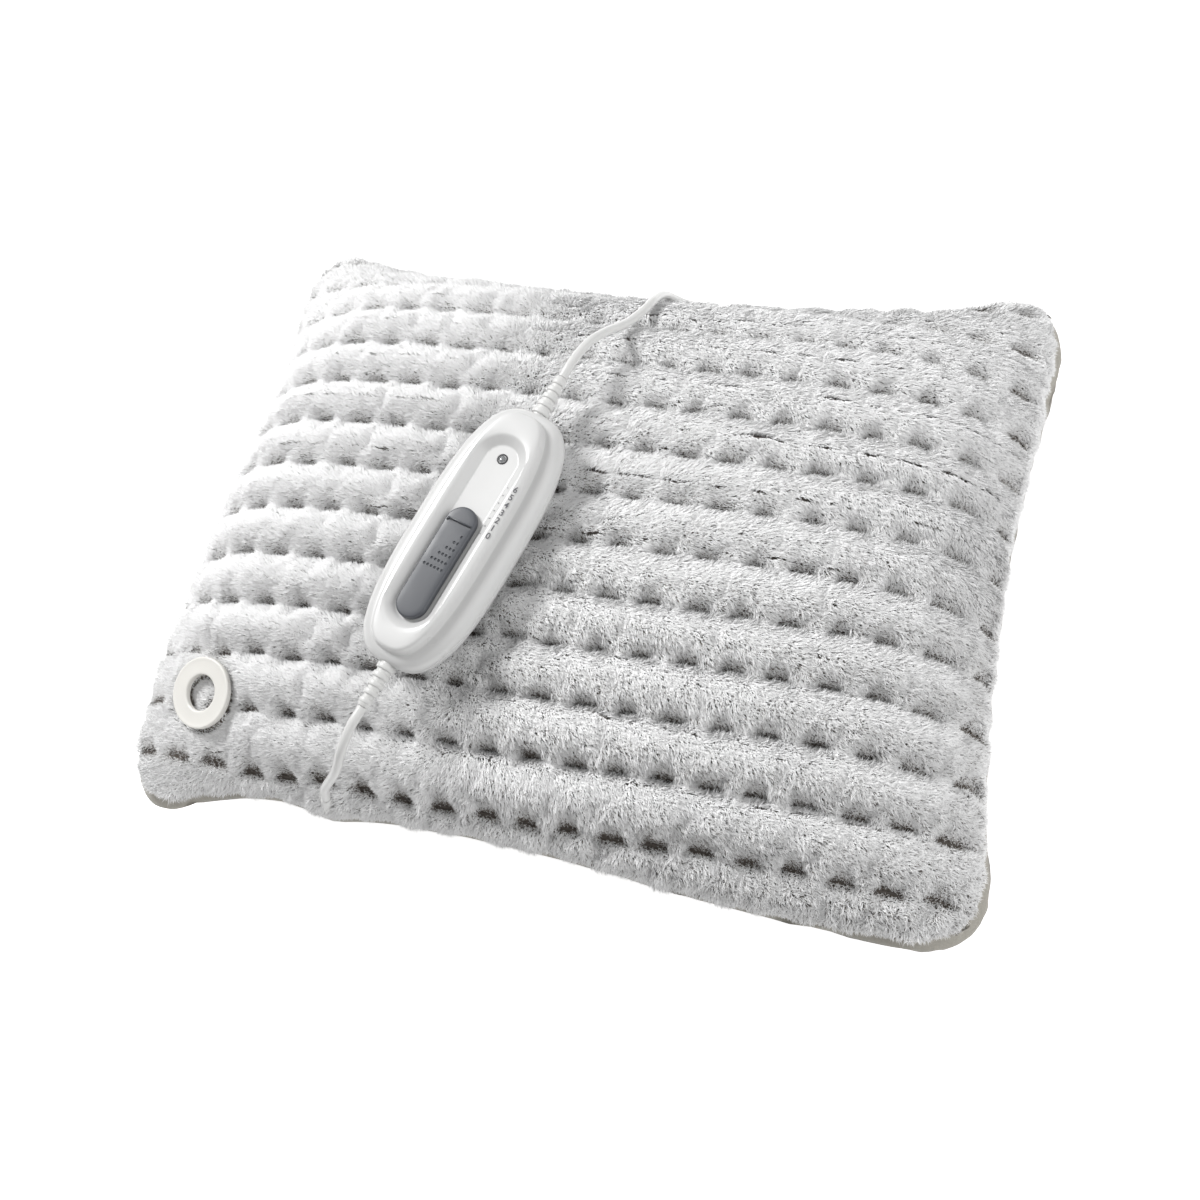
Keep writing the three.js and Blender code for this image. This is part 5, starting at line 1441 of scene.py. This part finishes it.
def case_outline(inset, end_share=1.0):
    """Squared oval of the case, drawn in by an inset."""
    across, along = circle(OUTLINE_STEPS)
    half_x = CASE_WIDTH / 2 - inset
    half_y = CASE_LENGTH / 2 - inset * end_share
    squared = 2 / CASE_POWER
    ring = np.stack([half_x * blunt(across, squared), half_y * blunt(along, squared)], 1)
    return even_ring(ring, CASE_SIDES)


def stadium(width, length, y):
    """Outline with two round ends, about a middle at y."""
    angles = np.linspace(0, math.pi, 120)
    far = (length - width) / 2
    arc = np.stack([width / 2 * np.cos(angles), width / 2 * np.sin(angles)], 1)
    ring = np.vstack([[(width / 2, 0)], arc + (0, far), -arc - (0, far)])
    return even_ring(ring, CASE_SIDES) + (0, y)


def level(ring, z):
    return np.column_stack([ring, np.full(len(ring), z)])


def stadium_levels(width, length, y, profile):
    """Rings of a stadium drawn in by the first value of each pair, at the height of the second."""
    return [level(stadium(width - 2 * inset, length - 2 * inset, y), z) for inset, z in profile]


def rounded(profile, spacing=0.7):
    """Smooth profile through (inset, height) pairs."""
    way = smooth_way([(inset, 0.0, z) for inset, z in profile], spacing)
    return [(point[0], point[2]) for point in way]


def case_top_mesh():
    """Upper half: skirt, shoulder groove, rounded ridge, recess, and the cavity under its deck."""
    low, top = PARTING_Z, CASE_HEIGHT
    skin = rounded(
        [
            (0, low + 0.6),
            (0.05, low + 1.2),
            (1.0, GROOVE_Z - 3.0),
            (3.1, GROOVE_Z - 1.15),
            (5.6, GROOVE_Z - 0.25),
            (7.2, GROOVE_Z),
        ]
    )
    shoulder = rounded(
        [
            (GROOVE_INSET, GROOVE_Z + 0.25),
            (GROOVE_INSET + 0.4, GROOVE_Z + 1.3),
            (GROOVE_INSET + 0.8, top - 1.7),
            (GROOVE_INSET + 1.4, top - 0.6),
            (GROOVE_INSET + 2.4, top - 0.08),
            (GROOVE_INSET + 3.4, top + 0.05),
        ]
    )
    cavity = [(11.4, DECK_Z), (2.8, low + 4), (2.0, low + 0.15), (0.3, low + 0.15), (0.05, low + 0.35)]
    rings = [level(case_outline(inset, CASE_END_SHARE if z > low + 4 else 1), z) for inset, z in cavity]
    rings += [level(case_outline(inset, CASE_END_SHARE), z) for inset, z in [*skin, *shoulder]]
    outer = case_outline(GROOVE_INSET + 3.4, CASE_END_SHARE)
    rim = stadium(RECESS_WIDTH + 1.4, RECESS_LENGTH + 1.4, RECESS_Y)
    for share in (0.35, 0.7):
        rings.append(level(outer * (1 - share) + rim * share, top + 0.12))
    wall = rounded(
        [
            (-0.7, top),
            (-0.15, top - 0.12),
            (0.4, top - 0.5),
            (RECESS_SLOPE - 0.7, RECESS_Z + 0.5),
            (RECESS_SLOPE - 0.1, RECESS_Z + 0.08),
            (RECESS_SLOPE + 0.6, RECESS_Z),
        ]
    )
    rings += stadium_levels(RECESS_WIDTH, RECESS_LENGTH, RECESS_Y, wall)
    return loft("case_upper", rings, 35.0)


def case_bottom_mesh():
    """Lower half: rounded foot outside, cavity inside."""
    low = PARTING_Z
    skin = rounded([(7.6, 0), (6.2, 0.12), (3.4, 1.2), (1.1, 4.0), (0.1, 7.2), (0.0, low - 0.6)])
    edge = [(0.05, low - 0.35), (0.3, low - 0.15), (2.0, low - 0.15), (3.05, 4.5), (7.8, 2.0)]
    return loft("case_lower", [level(case_outline(inset), z) for inset, z in [*skin, *edge]], 35.0)


def slider_mesh():
    """Stadium knob with rounded edges and a slightly crowned top."""
    top = SLIDER_TOP
    profile = [
        (0.3, SLIDER_BOTTOM),
        (0, SLIDER_BOTTOM + 0.3),
        (0, top - 1.1),
        (0.14, top - 0.5),
        (0.45, top - 0.14),
        (1.0, top),
    ]
    crowned = [*rounded(profile, 0.3), (3, top + 0.1)]
    return loft("slider_blank", stadium_levels(SLIDER_WIDTH, SLIDER_LENGTH, SLIDER_Y, crowned), 35.0)


def relief_profile():
    """Profile of a ribbed sleeve that tapers along the cord."""
    pitch = RELIEF_LENGTH / RELIEF_RIBS
    profile = list(RELIEF_ROOT)
    for rib in range(RELIEF_RIBS):
        radius = RELIEF_RADIUS - RELIEF_TAPER * rib / (RELIEF_RIBS - 1)
        last = rib + 1 == RELIEF_RIBS
        for share, drop in RELIEF_RIB if last else RELIEF_RIB + RELIEF_GROOVE:
            profile.append((radius - drop, rib * pitch + share * pitch))
    return profile + RELIEF_TIP


def cut_away(blank, *cutters):
    """The blank less each cutter, all given as meshes."""
    holder = new_object("blank", blank)
    tools = [new_object("cutter", cutter) for cutter in cutters]
    for tool in tools:
        modifier = holder.modifiers.new("cut", "BOOLEAN")
        modifier.operation = "DIFFERENCE"
        modifier.solver = "EXACT"
        modifier.use_self = True
        modifier.object = tool
    mesh = made_mesh(holder)
    for item in (holder, *tools):
        bpy.data.objects.remove(item)
    return smoothed(mesh, 35.0)


def ball(radius, rings=8, sides=16):
    profile = []
    for step in range(rings + 1):
        angle = -math.pi / 2 + math.pi * step / rings
        profile.append((radius * math.cos(angle), radius * math.sin(angle)))
    return turned("ball", profile, sides, 60.0)


def at_case(x, y, z, lean=0.0):
    """Place in the controller's frame, leaning about Y, as a matrix in metres."""
    return shifted(x, y, z) @ Matrix.Rotation(lean, 4, "Y")


def slider_details():
    """Dimples of the grip, growing by one in each row, and the slot near the slider's upper end."""
    dimples = []
    for row in range(DIMPLE_ROWS):
        for column in range(row + 1):
            x = DIMPLE_X - column * DIMPLE_PITCH[0]
            y = DIMPLE_Y - row * DIMPLE_PITCH[1]
            dimples.append(at_case(x, y, SLIDER_TOP + DIMPLE_RISE))
    dots = set_out("dimples", ball(DIMPLE_RADIUS), SLATE, dimples)
    return dots, placed(bar(*SLOT_BAR), at_case(0, SLOT_Y, SLIDER_TOP - SLOT_DEPTH))


def dial_digits():
    """Settings 0 to 6 beside the recess, as thin raised print."""
    points, faces = [], []
    for setting in range(SETTINGS):
        curve = bpy.data.curves.new("digit", "FONT")
        curve.body = str(setting)
        curve.size = DIGIT_SIZE * MM
        curve.align_x = "CENTER"
        curve.align_y = "CENTER"
        curve.extrude = DIGIT_EXTRUDE * MM
        curve.offset = DIGIT_OFFSET * MM
        writer = new_object("digit", curve)
        mesh = made_mesh(writer)
        bpy.data.objects.remove(writer)
        placed(mesh, at_case(DIGIT_X, DIGIT_Y + setting * DIGIT_PITCH, CASE_HEIGHT + DIGIT_RISE))
        start = len(points)
        points += [tuple(vertex.co / MM) for vertex in mesh.vertices]
        faces += [tuple(start + i for i in polygon.vertices) for polygon in mesh.polygons]
        bpy.data.meshes.remove(mesh)
    return mesh_of("dial_digits", points, faces, 30.0)


def make_relief(name, place):
    mesh = placed(turned(f"{name}_relief", relief_profile(), 48), place)
    return new_piece(mesh.name, mesh, SOFT_WHITE, stands_for=[f"{name}_strain_relief"])


def make_controller():
    """Case halves, slider, dial, lamp and strain reliefs."""
    across, along = SCREW_PLACE
    screws = [at_case(a * across, b * along, WELL_START) for a in (-1, 1) for b in (-1, 1)]
    well = turned("well", WELL_PROFILE, 32)
    lower = cut_away(case_bottom_mesh(), set_out("wells", well, CASE_WHITE, screws))
    dots, slot = slider_details()
    knob = cut_away(slider_mesh(), dots, slot)
    lip = placed(bar(*LIP_BAR), at_case(0, SLOT_Y + LIP_OFFSET, SLIDER_TOP - LIP_SINK))
    tick_rows = [DIGIT_Y + setting * DIGIT_PITCH for setting in range(SETTINGS)]
    ticks = [at_case(TICK_X, y, RECESS_Z + TICK_RISE, TICK_LEAN) for y in tick_rows]
    marks = set_out("dial_ticks", bar(*TICK_BAR), INK_PALE, ticks)
    lamp_place = at_case(0, LAMP_Y, RECESS_Z)
    bezel = collar("lamp_bezel", BEZEL_PROFILE, 48, 50.0)
    window = turned("lamp_window", WINDOW_PROFILE, 40)
    upper = case_top_mesh()
    for name, mesh, finish, slot_name, body, stands_for in [
        ("case_upper", upper, CASE_WHITE, "case_white", "pad", ["case_top"]),
        ("case_lower", lower, CASE_WHITE, "case_white", "pad", ["case_bottom"]),
        ("slider", knob, SLATE, "slate_plastic", "slider", ["slider_knob"]),
        ("slider_lip", lip, SLATE, "slate_plastic", "slider", []),
        ("dial_ticks", marks, INK_PALE, "slate_plastic", "pad", []),
        ("dial_digits", dial_digits(), INK, "slate_plastic", "pad", []),
        ("lamp_bezel", placed(bezel, lamp_place), BLACK, "black_plastic", "pad", []),
        ("lamp_window", placed(window, lamp_place), SMOKE, "smoke_glass", "pad", ["led_window"]),
    ]:
        new_piece(name, placed(mesh, CASE_FRAME), finish, body, stands_for)
    for name, end in (("mains", 1), ("pad", -1)):
        place = CASE_FRAME @ shifted(0, end * (CASE_LENGTH / 2 + GAP), PARTING_Z)
        make_relief(name, place @ Matrix.Rotation(-end * math.pi / 2, 4, "X"))


make_controller()


# Trim ring


def make_ring():
    """Flat ring whose inner and outer edges are rounded and slightly raised."""
    outer, bore = RING_OUTER / 2, RING_BORE / 2
    profile = [
        (bore, 0.2),
        (outer - 0.4, 0),
        (outer, 0.5),
        (outer, 2.0),
        (outer - 0.12, 2.5),
        (outer - 0.45, 2.78),
        (outer - 0.95, 2.82),
        (outer - 1.5, 2.68),
        (outer - 2.4, 2.6),
        (bore + 2.0, 2.5),
        (bore + 1.1, 2.58),
        (bore + 0.5, 2.5),
        (bore + 0.12, 2.2),
        (bore, 1.7),
        (bore, 0.8),
    ]
    mesh = collar("corner_ring", profile, 96, 60.0)
    placed(mesh, shifted(*RING_PLACE) @ aimed(RING_NORMAL))
    new_piece("corner_ring", mesh, IVORY, stands_for=["trim_ring"])


make_ring()


# Plug and tie


def plug_mesh():
    """Flat two-pin plug, ribbed at its neck for the fingers."""
    cosines, sines = circle(PLUG_SIDES)
    across, up = blunt(cosines, PLUG_POWER), blunt(sines, PLUG_POWER)
    steps, widths, depths = zip(*PLUG_OUTLINE)
    rings = []
    first, last = PLUG_RIBS
    for y in np.linspace(0, PLUG_LENGTH, PLUG_STEPS):
        wave = math.sin(math.pi * (y - first)) if first < y < last else 0.0
        groove = PLUG_RIB_DEPTH * max(0.0, wave)
        width = min(np.interp(y, steps, widths), PLUG_WIDTH / 2)
        depth = min(np.interp(y, steps, depths), PLUG_THICKNESS / 2) - groove
        rings.append(np.column_stack([-width * across, np.full(PLUG_SIDES, y), depth * up]))
    return loft("plug_shell", rings, 35.0)


def tie_mesh():
    """Hook-and-loop band drawn round the hank."""
    half_y, half_z = TIE_REACH
    cosines, sines = circle(TIE_SIDES)
    power_y, power_z = TIE_POWERS
    y = half_y * blunt(cosines, power_y)
    z = half_z * blunt(sines, power_z)
    edge = TIE_WIDTH / 2
    outline = [(-edge, 1), (-edge + 0.25, 0), (edge - 0.25, 0), (edge, 1), (edge - 0.1, 1), (0.1 - edge, 1)]
    rings = []
    for x, depth in outline:
        drawn_y, drawn_z = y * (1 - depth / half_y), z * (1 - depth / half_z)
        rings.append(np.column_stack([np.full(TIE_SIDES, x), drawn_y, drawn_z]))
    return wrapped("hank_tie", rings, 35.0)


def make_plug():
    """Plug with its pins and relief, and the tie round the hank."""
    plug_frame = shifted(*PLUG_PLACE) @ Matrix.Rotation(math.pi / 2, 4, "Z")
    forward = Matrix.Rotation(-math.pi / 2, 4, "X")
    shell = placed(plug_mesh(), plug_frame)
    pieces = [new_piece("plug_shell", shell, SOFT_WHITE, stands_for=["plug_body"])]
    for name, side in (("left", -1), ("right", 1)):
        place = plug_frame @ shifted(side * PIN_SPACING / 2, PLUG_LENGTH, 0) @ forward
        sleeve = placed(turned(f"pin_sleeve_{name}", SLEEVE_PROFILE, 32), place)
        pin = placed(turned(f"pin_{name}", PIN_PROFILE, 32), place)
        pieces.append(new_piece(sleeve.name, sleeve, BLACK))
        pieces.append(new_piece(pin.name, pin, NICKEL, stands_for=[f"plug_pin_{name}"]))
    pieces.append(make_relief("plug", plug_frame @ Matrix.Rotation(math.pi / 2, 4, "X")))
    tie = placed(tie_mesh(), shifted(0, HANK_Y, TIE_REACH[1] + TIE_LIFT))
    pieces.append(new_piece("hank_tie", tie, TIE_CLOTH, stands_for=["cord_tie"]))
    return pieces


plug_pieces = make_plug()


# Finish of the CAD nodes

NODE_FINISH = {
    "plush_fabric": BACKING,
    "back_fabric": MICROFIBRE,
    "wadding": WADDING,
    "case_white": CASE_WHITE,
    "soft_white": SOFT_WHITE,
    "ivory_plastic": IVORY,
    "slate_plastic": SLATE,
    "black_plastic": BLACK,
    "copper": COPPER,
    "steel": STEEL,
    "board_green": BOARD,
    "smoke_glass": SMOKE,
}


def dress_nodes():
    """Finish of every CAD node, by its material slot."""
    slots = {part["node"]: part["material_slot"] for part in frame["record"]["subparts"]}
    for name, node in frame["nodes"].items():
        node.data.materials.clear()
        node.data.materials.append(NODE_FINISH[slots[name]])


dress_nodes()
